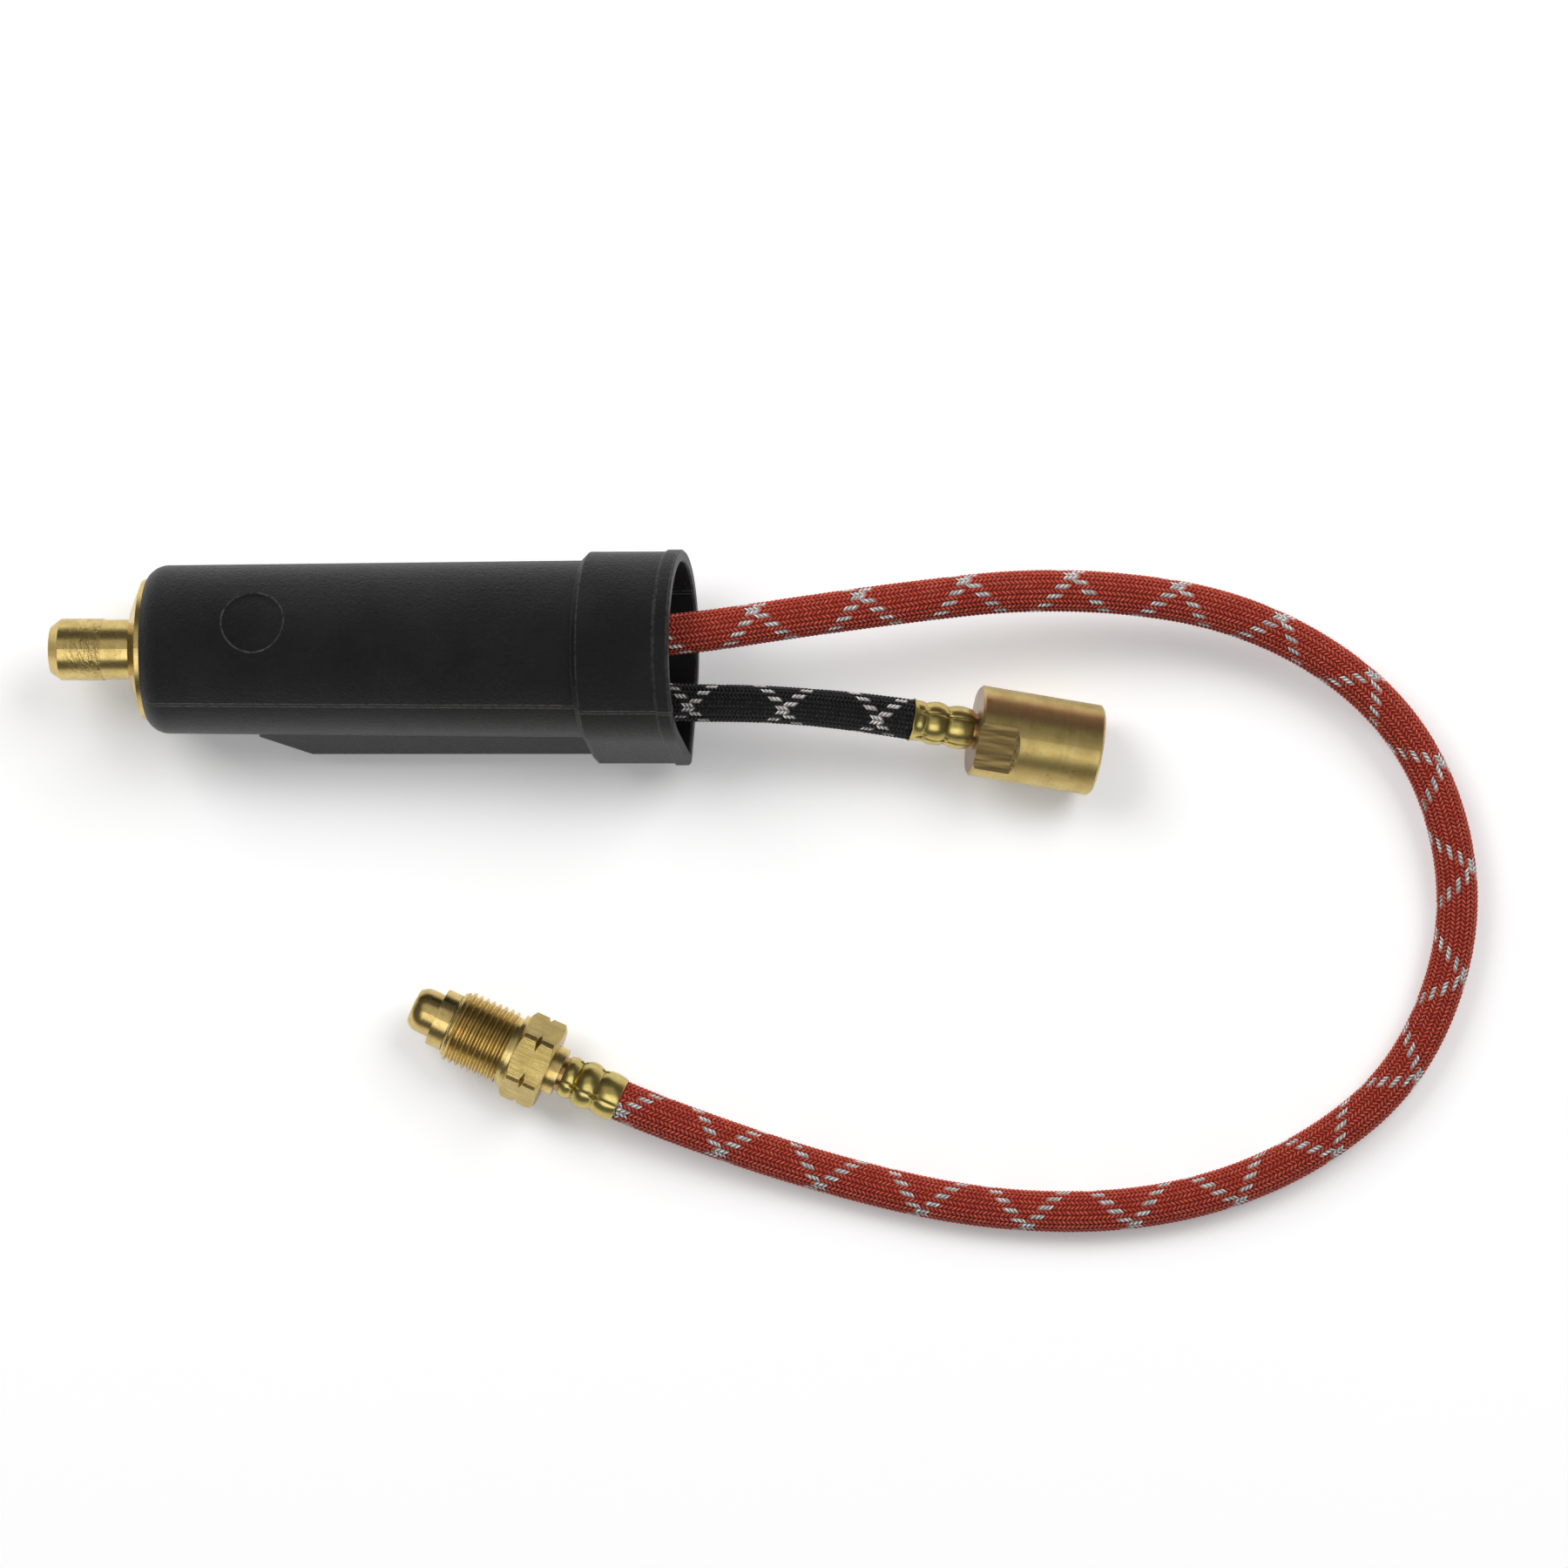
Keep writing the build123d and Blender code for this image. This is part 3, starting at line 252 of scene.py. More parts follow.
# ================================================================ brass
def turned_brass(name, matrix, tones, rough=0.24, lines=0.0, bar_from=None, marks=None):
    """Turned brass with rings round its axis.

    tones: two plain, one bright, one tarnished. lines: share of drawn lines along the axis.
    bar_from: where along the axis the turning stops. marks: what else is on the surface.
    """
    m = Mat(name, Metallic=1.0)
    where = m.local(matrix)
    x, y, z = m.split(where)
    r = m.math("SQRT", m.math("ADD", m.math("MULTIPLY", y, y), m.math("MULTIPLY", z, z)))
    cosine = m.math("DIVIDE", y, r)
    sine = m.math("DIVIDE", z, r)
    rings = m.noise(m.join(x, r, m.math("MULTIPLY", cosine, 0.25)), 5.5, 4.0, 0.62, w=sine)
    coarse = m.noise(m.join(x, r, m.math("MULTIPLY", cosine, 0.3)), 1.3, 2.0, 0.5, w=sine)
    blotch = m.noise(where, 0.22, 3.0, 0.55)
    speck = m.noise(where, 2.6, 2.0, 0.7)
    pits = m.steps(m.noise(where, 1.7, 1.0, 0.4), 0.0, 1.0, 0.70, 0.78)
    height = m.math("ADD", m.math("MULTIPLY", rings, 0.55), m.math("MULTIPLY", coarse, 0.45))
    if lines > 0:
        drawn = m.noise(m.join(m.math("MULTIPLY", x, 0.03), y, z), 6.5, 3.0, 0.6)
        height = m.add_mix(lines, height, drawn)
    if bar_from is not None:
        height = m.math("MULTIPLY", height, m.steps(x, 1.0, 0.1, bar_from - 0.1, bar_from + 0.6))
    plain = m.mix(m.steps(blotch, 0, 1, 0.38, 0.66), tones[0], tones[1])
    toned = m.mix(m.steps(coarse, 0.0, 0.4, 0.45, 0.75), plain, tones[2])
    tarnish = m.steps(m.noise(where, 0.55, 4.0, 0.65), 0.0, 0.5, 0.52, 0.72)
    toned = m.mix(tarnish, toned, tones[3])
    toned = m.mix(m.math("MULTIPLY", pits, 0.5), toned, (0.20, 0.12, 0.05))
    worn = m.math("MULTIPLY", m.edges(0.22, 0.80, 0.99), 0.5)
    toned = m.mix(worn, toned, (0.88, 0.74, 0.42))
    roughness = m.steps(blotch, rough - 0.05, rough + 0.09)
    roughness = m.math("ADD", roughness, m.steps(speck, -0.03, 0.05))
    normal = m.bump(height, 0.012 * MM, 0.9, m.rounded(0.12))
    if marks:
        toned, roughness, normal = marks(m, (x, y, z, r), toned, roughness, normal)
    m.set("Base Color", toned)
    m.set("Roughness", roughness)
    m.set("Normal", normal)
    return m


# two plain tones, a bright one and a tarnished one
YELLOW_BRASS = ((0.68, 0.51, 0.19), (0.57, 0.42, 0.15), (0.76, 0.60, 0.27), (0.44, 0.30, 0.11))
BROWN_BRASS = ((0.60, 0.46, 0.17), (0.51, 0.38, 0.13), (0.66, 0.52, 0.22), (0.42, 0.29, 0.12))

OLIVE_PAINTED_REFLECTION = (0.36, 0.27, 0.085)
COPPER_BROWN = (0.34, 0.16, 0.08)
RIPPLES_START = -15.6
RIPPLES_END = -6.7
PIN_BARE_R = 5.9  # below this radius the pin's tip is turned bright


def pin_marks(m, place, toned, roughness, normal):
    """Slanting ripples of scale on the pin, strongest behind its bright front."""
    x, y, z, r = place
    slant = m.join(m.math("MULTIPLY_ADD", y, 0.45, x), m.math("MULTIPLY", y, 0.4), z)
    ripples = m.noise(slant, 1.25, 3.0, 0.6, distortion=0.4)
    inside = m.steps(x, 0.08, 1.0, RIPPLES_START, -8.0)
    inside = m.math("MULTIPLY", inside, m.steps(x, 1.0, 0.0, RIPPLES_END, RIPPLES_END + 0.5))
    front = m.steps(x, 0.0, 1.0, RIPPLES_START - 0.3, RIPPLES_START + 0.3)
    inside = m.math("MULTIPLY", inside, front)
    inside = m.math("MULTIPLY", inside, m.steps(r, 0.0, 1.0, PIN_BARE_R, PIN_BARE_R + 0.3))
    height = m.math("MULTIPLY", m.steps(ripples, 0, 1, 0.34, 0.66), inside)
    dull = m.math("MULTIPLY", m.steps(ripples, 1, 0, 0.34, 0.55), inside)
    toned = m.mix(m.math("MULTIPLY", dull, 0.55), toned, (0.40, 0.28, 0.10))
    return toned, roughness, m.bump(height, 0.055 * MM, 0.9, normal)


def neck_marks(middle, half):
    """The thin neck beside a ferrule is a redder, darker brown."""

    def marks(m, place, toned, roughness, normal):
        neck = m.band(place[0], middle, half, 0.1)
        return m.mix(m.math("MULTIPLY", neck, 0.75), toned, COPPER_BROWN), roughness, normal

    return marks


def nut_marks(m, place, toned, roughness, normal):
    """Fine drawn lines along the nut's six faces, with an olive tone over the faces that is a
    painted darker reflection.
    """
    x, y, z, _ = place
    lines = m.noise(m.join(m.math("MULTIPLY", x, 0.04), y, z), 4.0, 4.0, 0.65)
    faces = m.steps(x, 0.0, 1.0, 23.4, 24.0)
    # painted reflection: the hex faces are toned olive everywhere, like the dimmer sky they would
    # mirror; the drawn lines only vary how much
    toned = m.mix(m.math("MULTIPLY", faces, m.steps(lines, 0.2, 0.75, 0.40, 0.62)), toned, OLIVE_PAINTED_REFLECTION)
    return toned, roughness, m.bump(m.math("MULTIPLY", lines, faces), 0.07 * MM, 0.9, normal)


FLAT_TILT = radians(22.0)
FLAT_OUT = 7.95      # from the axis
FLAT_START = 18.3    # along the axis, like the next
COUPLER_REAR = 26.0
COUPLER_R = 9.525
FLAT_BROWN = (0.30, 0.205, 0.085)
RUNOUT_BRIGHT = (0.90, 0.74, 0.36)
PAINTED_PINK_REFLECTION = (0.62, 0.32, 0.17)
REAR_GREY = (0.42, 0.33, 0.28)


def coupler_marks(m, place, toned, roughness, normal):
    """Brown wavy flats with a bright speckled run-out, a band of painted pinkish reflection along
    one side, and a greyish rear face.
    """
    x, y, z, r = place
    out = m.math("MULTIPLY_ADD", y, sin(FLAT_TILT), m.math("MULTIPLY", z, cos(FLAT_TILT)))
    across = m.math("MULTIPLY_ADD", y, cos(FLAT_TILT), m.math("MULTIPLY", z, -sin(FLAT_TILT)))
    on_flat = m.band(m.math("ABSOLUTE", out), FLAT_OUT, 0.03, 0.03)
    on_flat = m.math("MULTIPLY", on_flat, m.steps(x, 0.0, 1.0, FLAT_START - 0.1, FLAT_START + 0.1))
    wave = m.noise(m.join(m.math("MULTIPLY", x, 0.16), across, out), 0.62, 1.0, 0.4)
    toned = m.mix(m.math("MULTIPLY", on_flat, 0.85), toned, FLAT_BROWN)
    normal = m.bump(m.math("MULTIPLY", wave, on_flat), 0.30 * MM, 0.8, normal)
    cut_away = m.steps(r, 1.0, 0.0, COUPLER_R - 0.10, COUPLER_R - 0.03)
    runout = m.math("MULTIPLY", cut_away, m.band(x, FLAT_START - 0.5, 0.5, 0.05))
    speckle = m.steps(m.noise(m.join(x, y, z), 1.9, 2.0, 0.6), 0.0, 1.0, 0.38, 0.60)
    toned = m.mix(m.math("MULTIPLY", runout, speckle), toned, RUNOUT_BRIGHT)
    # painted reflection: a pinkish band at a fixed angle round the axis, where a reflection band of
    # the lamps falls
    pink = m.band(m.math("DIVIDE", y, r), -0.60, 0.14, 0.14)
    toned = m.mix(m.math("MULTIPLY", pink, 0.5), toned, PAINTED_PINK_REFLECTION)
    rear = m.steps(x, 0.0, 0.85, COUPLER_REAR - 0.05, COUPLER_REAR - 0.02)
    return m.mix(rear, toned, REAR_GREY), roughness, normal


def crimped_brass(name):
    """Bright yellow brass, smooth from the dies, with fine scuffs."""
    m = Mat(name, Metallic=1.0)
    where = m.local(Matrix())
    blotch = m.noise(where, 0.35, 3.0, 0.6)
    scuff = m.noise(where, 4.5, 4.0, 0.65)
    dark = m.steps(m.noise(where, 0.8, 3.0, 0.6), 0.0, 0.5, 0.55, 0.75)
    toned = m.mix(m.steps(blotch, 0, 1, 0.35, 0.65), (0.62, 0.50, 0.17), (0.52, 0.41, 0.13))
    m.set("Base Color", m.mix(dark, toned, (0.36, 0.25, 0.07)))
    m.set("Roughness", m.math("ADD", m.steps(scuff, 0.22, 0.33), m.steps(blotch, 0.0, 0.06)))
    m.set("Normal", m.bump(scuff, 0.006 * MM, 0.6))
    return m


def paint(node, material):
    """Gives a CAD node one material in every slot."""
    thing = frame["nodes"][node]
    for slot in thing.material_slots:
        slot.material = material


def plain_part(name, colour, second, rough, metallic=0.0):
    """A quiet material for small inner pieces: two tones and a fine grain."""
    m = Mat(name, Metallic=metallic)
    where = m.local(Matrix())
    blotch = m.noise(where, 0.6, 3.0, 0.6)
    fine = m.noise(where, 2.0, 3.0, 0.6)
    m.set("Base Color", m.mix(m.steps(blotch, 0, 1, 0.35, 0.65), colour, second))
    m.set("Roughness", m.steps(fine, rough - 0.06, rough + 0.08))
    m.set("Normal", m.bump(fine, 0.01 * MM, 0.7))
    return m


# ================================================================ hoses
LYING = 4.395
return_bends = [
    (104.0, 10.5, 24.0),
    (145.6, 15.1, 19.2),
    (186.4, 8.8, 12.6),
    (217.8, -14.2, 7.0),
    (228.9, -50.4, LYING),
    (218.1, -85.3, LYING),
    (193.6, -105.6, LYING),
    (163.3, -115.7, LYING),
    (128.6, -116.0, LYING),
    (93.3, -108.0, LYING),
]
inner_end = INNER_FERRULE_START + FERRULE_LENGTH
stem_end = STEM_FERRULE_START + FERRULE_LENGTH
coupler_end = COUPLER_FERRULE_START + FERRULE_LENGTH
return_route = [port_point(RETURN_PORT, inner_end - FERRULE_GRIP)]
return_route += [port_point(RETURN_PORT, inner_end + 31.5)]
return_route += [Vector(point) * MM for point in return_bends]
return_route += [stem_origin + stem_along * (stem_end + 7.6) * MM]
return_route += [stem_origin + stem_along * (stem_end - FERRULE_GRIP) * MM]
power_route = [port_point(POWER_PORT, inner_end - FERRULE_GRIP)]
power_route += [port_point(POWER_PORT, inner_end + 14.2)]
power_route += [Vector((53.5, -9.4, 18.7)) * MM]
power_route += [coupler_origin + coupler_along * (coupler_end + 20.0) * MM]
power_route += [coupler_origin + coupler_along * (coupler_end - FERRULE_GRIP) * MM]


def centreline(name, route):
    """The points of a smooth curve that has the route's points as its control points."""
    curve = bpy.data.curves.new(name, "CURVE")
    curve.dimensions = "3D"
    curve.resolution_u = 64
    spline = curve.splines.new("NURBS")
    spline.points.add(len(route) - 1)
    for point, place in zip(spline.points, route):
        point.co = (*place, 1)
    spline.order_u = 3
    spline.use_endpoint_u = True
    holder = bpy.data.objects.new(name, curve)
    mesh = bpy.data.meshes.new_from_object(holder)
    places = np.zeros(len(mesh.vertices) * 3)
    mesh.vertices.foreach_get("co", places)
    bpy.data.objects.remove(holder)
    bpy.data.meshes.remove(mesh)
    bpy.data.curves.remove(curve)
    return places.reshape(-1, 3)


def evenly(points, step):
    """The same line with points a step apart, and the distance along it of each."""
    runs = np.linalg.norm(np.diff(points, axis=0), axis=1)
    keep = np.concatenate([[True], runs > 1e-9])
    points = points[keep]
    along = np.concatenate([[0], np.cumsum(np.linalg.norm(np.diff(points, axis=0), axis=1))])
    count = int(round(along[-1] / step))
    wanted = np.linspace(0, along[-1], count + 1)
    return np.stack([np.interp(wanted, along, points[:, k]) for k in range(3)], 1), wanted


def carried_frames(points, first_up):
    """A frame at each point that turns no more than the line does."""
    tangent = np.gradient(points, axis=0)
    for _ in range(3):
        tangent[1:-1] = (tangent[:-2] + 2 * tangent[1:-1] + tangent[2:]) / 4
    tangent /= np.linalg.norm(tangent, axis=1)[:, None]
    upward = np.zeros_like(points)
    current = np.array(first_up, float)
    for k, t in enumerate(tangent):
        current = current - t * current.dot(t)
        current /= np.linalg.norm(current)
        upward[k] = current
    return tangent, upward, np.cross(upward, tangent)


def in_world(places, matrix):
    """Points given in mm in a fitting's frame, put into the scene."""
    return places @ np.array(matrix.to_3x3()).T * MM + np.array(matrix.to_translation())


def grid_mesh(name, places, closed_u=True):
    """A mesh from a grid of points: rows along it, columns round it."""
    rows, columns = places.shape[:2]
    mesh = bpy.data.meshes.new(name)
    mesh.vertices.add(rows * columns)
    mesh.vertices.foreach_set("co", places.reshape(-1).astype(np.float32))
    last = columns if closed_u else columns - 1
    row = np.arange(rows - 1)[:, None] * columns
    here = np.arange(last)[None, :]
    after = (here + 1) % columns
    quads = np.stack([row + here, row + columns + here, row + columns + after, row + after], -1)
    quads = quads.reshape(-1, 4).astype(np.int32)
    mesh.loops.add(quads.size)
    mesh.loops.foreach_set("vertex_index", quads.reshape(-1))
    mesh.polygons.add(len(quads))
    mesh.polygons.foreach_set("loop_start", np.arange(0, quads.size, 4, dtype=np.int32))
    mesh.update(calc_edges=True)
    mesh.polygons.foreach_set("use_smooth", np.ones(len(quads), dtype=bool))
    mesh.update()
    thing = bpy.data.objects.new(name, mesh)
    scene.collection.objects.link(thing)
    return thing


YARNS = 24
BRAID_SAMPLES = 6  # grid steps to each yarn, both ways
STITCH_HALF = 0.38  # half width of a stitch, in yarns
STITCH_ENDS = 0.9   # how much a stitch narrows and dives towards its ends
WHITE_YARNS = 3.0   # of the yarns that run each way


def braid(name, route, sizes, lead, twist, relief):
    """A braided cover in real relief, and its centre line.

    sizes: (mm along, radius). lead: mm that a yarn takes for one turn. twist: (mm along,
    degrees). relief: how deep the gaps between stitches are.
    """
    raw = centreline(name + "_line", route)
    points, along = evenly(raw, lead / YARNS / BRAID_SAMPLES * MM)
    tangent, upward, side = carried_frames(points, (0, 0, 1))
    s = along / MM
    # the columns start and end underneath, where the cover's two edges meet
    columns = YARNS * BRAID_SAMPLES + 1
    around = np.linspace(-pi, pi, columns)
    turn = np.radians(np.interp(s, [k[0] for k in twist], [k[1] for k in twist]))
    radius = np.interp(s, [k[0] for k in sizes], [k[1] for k in sizes])[:, None]
    phase = YARNS * around[None, :] / (2 * pi) * np.ones((len(s), 1))
    run = s[:, None] * YARNS / lead * np.ones((1, columns))
    right = run + phase
    left = run - phase
    # a yarn floats over two others in a stitch like a grain of rice, then dives under two
    swell = np.cos(pi * (phase - 0.5))
    across = np.where(swell > 0, right, left) % 1 - 0.5
    inside = 1 - (across / STITCH_HALF) ** 2 - STITCH_ENDS * (1 - swell**2) ** 2
    height = np.sqrt(np.clip(inside, 0, 1))
    # the cover is a little uneven, like any bent hose
    wobble = 0.02 * np.sin(s / 17.0 + 0.7)[:, None] + 0.015 * np.sin(s / 6.1)[:, None]
    r = (radius - relief * (1 - height) - 0.03 + wobble) * MM
    angle = around[None, :] + turn[:, None]
    out = (
        upward[:, None, :] * np.cos(angle)[..., None] + side[:, None, :] * np.sin(angle)[..., None]
    )
    thing = grid_mesh(name, points[:, None, :] + out * r[..., None], closed_u=False)
    for label, values in (("yarn_right", right), ("yarn_left", left), ("yarn_swell", swell)):
        layer = thing.data.attributes.new(label, "FLOAT", "POINT")
        layer.data.foreach_set("value", values.reshape(-1).astype(np.float32))
    return thing, raw


def braid_material(name, colour, bright, deep, white_first):
    """Woven yarns: each stitch its own tone, with fine fibres and three white yarns each way; deep
    is the painted shade colour that the yarns darken to in the gaps between stitches.
    """
    m = Mat(name, Metallic=0.0, IOR=1.5, Specular_IOR_Level=0.4)
    right = m.add("Attribute", attribute_name="yarn_right").outputs["Fac"]
    left = m.add("Attribute", attribute_name="yarn_left").outputs["Fac"]
    swell = m.add("Attribute", attribute_name="yarn_swell").outputs["Fac"]
    on_top = m.math("GREATER_THAN", swell, 0.0)

    def pick(a, b):
        """a where a right-hand yarn is on top, b elsewhere."""
        return m.math("MULTIPLY_ADD", m.math("SUBTRACT", a, b), on_top, b)

    def is_white(value):
        shifted = m.math("FLOORED_MODULO", m.math("SUBTRACT", value, white_first), float(YARNS))
        return m.math("LESS_THAN", shifted, WHITE_YARNS)

    def squared(value):
        return m.math("MULTIPLY", value, value)

    across = m.math("SUBTRACT", m.math("FRACT", pick(right, left)), 0.5)
    sides = squared(m.math("DIVIDE", across, STITCH_HALF))
    ends = m.math("MULTIPLY", squared(m.math("SUBTRACT", 1.0, squared(swell))), STITCH_ENDS)
    inside = m.math("SUBTRACT", m.math("SUBTRACT", 1.0, sides), ends)
    height = m.math("SQRT", m.math("MAXIMUM", inside, 0.0))
    white = pick(is_white(right), is_white(left))
    other = pick(left, right)
    own = pick(m.math("FLOOR", right), m.math("ADD", m.math("FLOOR", left), 77.0))
    stitch = m.add("TexWhiteNoise", noise_dimensions="2D")
    pair = m.math("FLOOR", m.math("MULTIPLY", other, 0.5))
    m.put(stitch.inputs["Vector"], m.join(own, pair, 0.0))
    fibre = m.noise(
        m.join(m.math("MULTIPLY", across, 11.0), m.math("MULTIPLY", other, 0.5), own), 1.0, 3.0, 0.6
    )
    tone = m.math("MULTIPLY_ADD", stitch.outputs["Value"], 0.5, m.math("MULTIPLY", fibre, 0.6))
    yarn = m.mix(m.steps(tone, 0, 1, 0.2, 0.9), colour, bright)
    pale = m.mix(m.steps(tone, 0, 1, 0.25, 0.75), (0.58, 0.55, 0.53), (0.93, 0.91, 0.89))
    # painted shade: red yarns and white ticks darken towards a shade colour in the gaps between
    # stitches, standing in for the shade that falls there
    gap_shade = m.steps(inside, 1.0, 0.0, 0.0, 0.42)
    yarn = m.mix(gap_shade, yarn, deep)
    pale = m.mix(m.math("MULTIPLY", gap_shade, 0.8), pale, (0.20, 0.14, 0.13))
    m.set("Base Color", m.mix(white, yarn, pale))
    m.set("Roughness", m.steps(fibre, 0.36, 0.56))
    shape = m.bump(height, 0.30 * MM, 0.6)
    m.set("Normal", m.bump(fibre, 0.05 * MM, 0.6, shape))
    return m


HOSE_RADIUS = 4.375
GRIPPED_R = 3.5  # where a crimp squeezes the cover
RED_LEAD = 21.93
BLACK_LEAD = 19.4
# (mm along, radius)
red_sizes = [(0, GRIPPED_R), (2.6, 4.3), (9, HOSE_RADIUS), (460, HOSE_RADIUS)]
black_sizes = [(0, GRIPPED_R), (2.6, 4.3), (14, 4.0), (75, 4.0), (90, 4.2), (96, 4.3)]
black_sizes += [(98.6, GRIPPED_R)]
# (mm along, degrees): how far the white crosses wander round the hose
red_twist = [(0, 42), (60, 42), (85, 41), (108, 49), (200, 44), (330, 44), (400, 40), (460, 20)]
black_twist = [(0, -14), (99, -20)]
return_cover, return_line = braid(
    "return_hose_cover", return_route, red_sizes, RED_LEAD, red_twist, 0.40
)
power_cover, power_line = braid(
    "power_hose_cover", power_route, black_sizes, BLACK_LEAD, black_twist, 0.36
)
# yarn colour, brighter yarn tone, painted shade colour for the gaps between stitches, and the first
# white yarn
red_braid = braid_material(
    "red_braid", (0.54, 0.052, 0.024), (0.76, 0.135, 0.075), (0.17, 0.010, 0.006), 20.25
)
black_braid = braid_material(
    "black_braid", (0.012, 0.012, 0.014), (0.032, 0.032, 0.035), (0.0015, 0.0015, 0.0015), 12.2
)
return_cover.data.materials.append(red_braid.material)
power_cover.data.materials.append(black_braid.material)
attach(return_cover, "plug")
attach(power_cover, "plug")
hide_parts("return_hose_braid", "return_hose_liner")
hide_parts("power_hose_braid", "power_hose_liner", "power_conductor")


# ================================================================ crimped ferrules
MOUTH_R = 4.44        # a ferrule's inside at its open end
FERRULE_BORE_R = 3.2  # further in, where the hose is squeezed onto its barb
END_WALL = 0.9


def ferrule(name, matrix, start, ends, crowns, valleys, grip_r, neck_r, creases, pinch, node):
    """A crimped sleeve with three rings, drawn from the hose end, in mm.

    ends: where the rings end. crowns: their diameters. valleys: the diameters before, between
    and after them. grip_r: inside at the end of the hose's cover. neck_r: hole in the end wall.
    creases: where folds run along it, in degrees. pinch: how deep they are pinched.
    """
    rows = 170
    columns = 240
    x = np.linspace(0, FERRULE_LENGTH, rows)
    theta = np.arange(columns) / columns * 2 * pi
    at = np.array([0.0, *ends])
    k = np.clip(np.searchsorted(at, x, side="right") - 1, 0, 2)
    share = (x - at[k]) / (at[k + 1] - at[k])
    low = np.array(valleys) / 2
    floor_r = low[k] + (low[k + 1] - low[k]) * share
    hump = np.sin(pi * np.clip(share, 0, 1)) ** 0.72
    radius = (floor_r + (np.array(crowns)[k] / 2 - floor_r) * hump)[:, None] * np.ones((1, columns))
    # creases run along the sleeve between the jaws' marks, and pinch into folds at the valleys
    for crease in creases:
        off = np.abs((theta - radians(crease) + pi) % (2 * pi) - pi)
        groove = 0.16 * np.exp(-((off / radians(5)) ** 2))
        groove += 0.20 * np.exp(-((off / radians(22)) ** 2))
        radius -= (0.25 + 0.75 * hump)[:, None] * groove[None, :]
        for valley in ends[:2]:
            away = (x - valley)[:, None]
            reach = off[None, :] * 4.6
            radius -= pinch * np.exp(-((away / 0.75) ** 2 + (reach / 0.30) ** 2))
            radius -= 0.4 * pinch * np.exp(-((away / 0.32) ** 2 + (reach / 1.3) ** 2))
            lips = np.exp(-(((reach - 0.62) / 0.34) ** 2 + (away / 0.55) ** 2))
            radius += 0.55 * pinch * lips
    # both outer rims are broken
    radius[0] -= 0.10
    radius[-1] -= 0.12
    hole_r = neck_r + 0.05
    wall_start = FERRULE_LENGTH - END_WALL
    inner = [(FERRULE_LENGTH - 0.05, hole_r), (wall_start, hole_r)]
    inner += [(wall_start, FERRULE_BORE_R), (FERRULE_GRIP, FERRULE_BORE_R)]
    inner += [(FERRULE_GRIP, grip_r), (0.0, MOUTH_R)]
    local_x = start + FERRULE_LENGTH - np.concatenate([x, [p[0] for p in inner]])
    inner_r = np.array([p[1] for p in inner])[:, None] * np.ones((1, columns))
    radius = np.concatenate([radius, inner_r])
    places = np.stack(
        [
            local_x[:, None] * np.ones((1, columns)),
            radius * np.sin(theta)[None, :],
            radius * np.cos(theta)[None, :],
        ],
        -1,
    )
    places = np.concatenate([places, places[:1]])[:, ::-1]
    thing = grid_mesh(name, in_world(places, matrix))
    thing.data.set_sharp_from_angle(angle=radians(50))
    thing.data.materials.append(ferrule_brass.material)
    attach(thing, "plug")
    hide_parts(node)
    return thing


ferrule_brass = crimped_brass("crimped_brass")
# ends, crowns, valleys and inside at the cover's end
RETURN_RINGS = ((5.2, 9.9, FERRULE_LENGTH), (10.1, 10.35, 9.2), (9.1, 8.8, 8.1, 8.2), MOUTH_R)
POWER_RINGS = ((2.7, 7.4, FERRULE_LENGTH), (8.5, 9.15, 9.0), (9.2, 7.75, 7.75, 7.75), 3.55)
POWER_CREASES = (-29, 54, 145, 235)
return_end = ferrule(
    "return_end_crimp", stem_frame, STEM_FERRULE_START, *RETURN_RINGS, 3.75,
    (-18, 72, 162, 252), 0.42, "return_end_ferrule",
)
power_end = ferrule(
    "power_end_crimp", coupler_frame, COUPLER_FERRULE_START, *POWER_RINGS, 3.5,
    POWER_CREASES, 0.34, "power_end_ferrule",
)
ferrule(
    "return_inner_crimp", return_port_frame, INNER_FERRULE_START, *POWER_RINGS, 3.0,
    POWER_CREASES, 0.3, "return_inner_ferrule",
)
ferrule(
    "power_inner_crimp", power_port_frame, INNER_FERRULE_START, *POWER_RINGS, 3.0,
    (10, 100, 190, 280), 0.3, "power_inner_ferrule",
)

# ================================================================ sizes of the coupling nut
# along the stem's axis
NUT_START = 9.0
NUT_THREAD_END = 21.689
NUT_SHOULDER_START = 22.589
NUT_HEX_START = 23.489
NUT_END = 31.489
FIRST_CREST = 7.666  # the ridge's middle where it starts, on top of the nut
# across it
NUT_BORE_R = 5.25
CREST_R = 7.9375
ROOT_R = 7.06
SUNK_R = 6.67        # the ridge's foot, inside the nut
LEAD_START_R = CREST_R - 1.0
NUT_SHOULDER_R = 8.1
NUT_APOTHEM = 8.55
NUT_CORNER_R = 9.6
NOTCH_BOTTOM_R = 8.873
# slopes and the thread's form
LEAD_SLOPE = 1.4     # along for each mm out
BEVEL_SLOPE = 1.47   # out for each mm along
NOTCH_SLOPE = 0.7
BEVEL_LENGTH = 0.72
NOTCH_HALF = 0.54
THREAD_PITCH = 25.4 / 18
CREST_HALF = THREAD_PITCH / 16

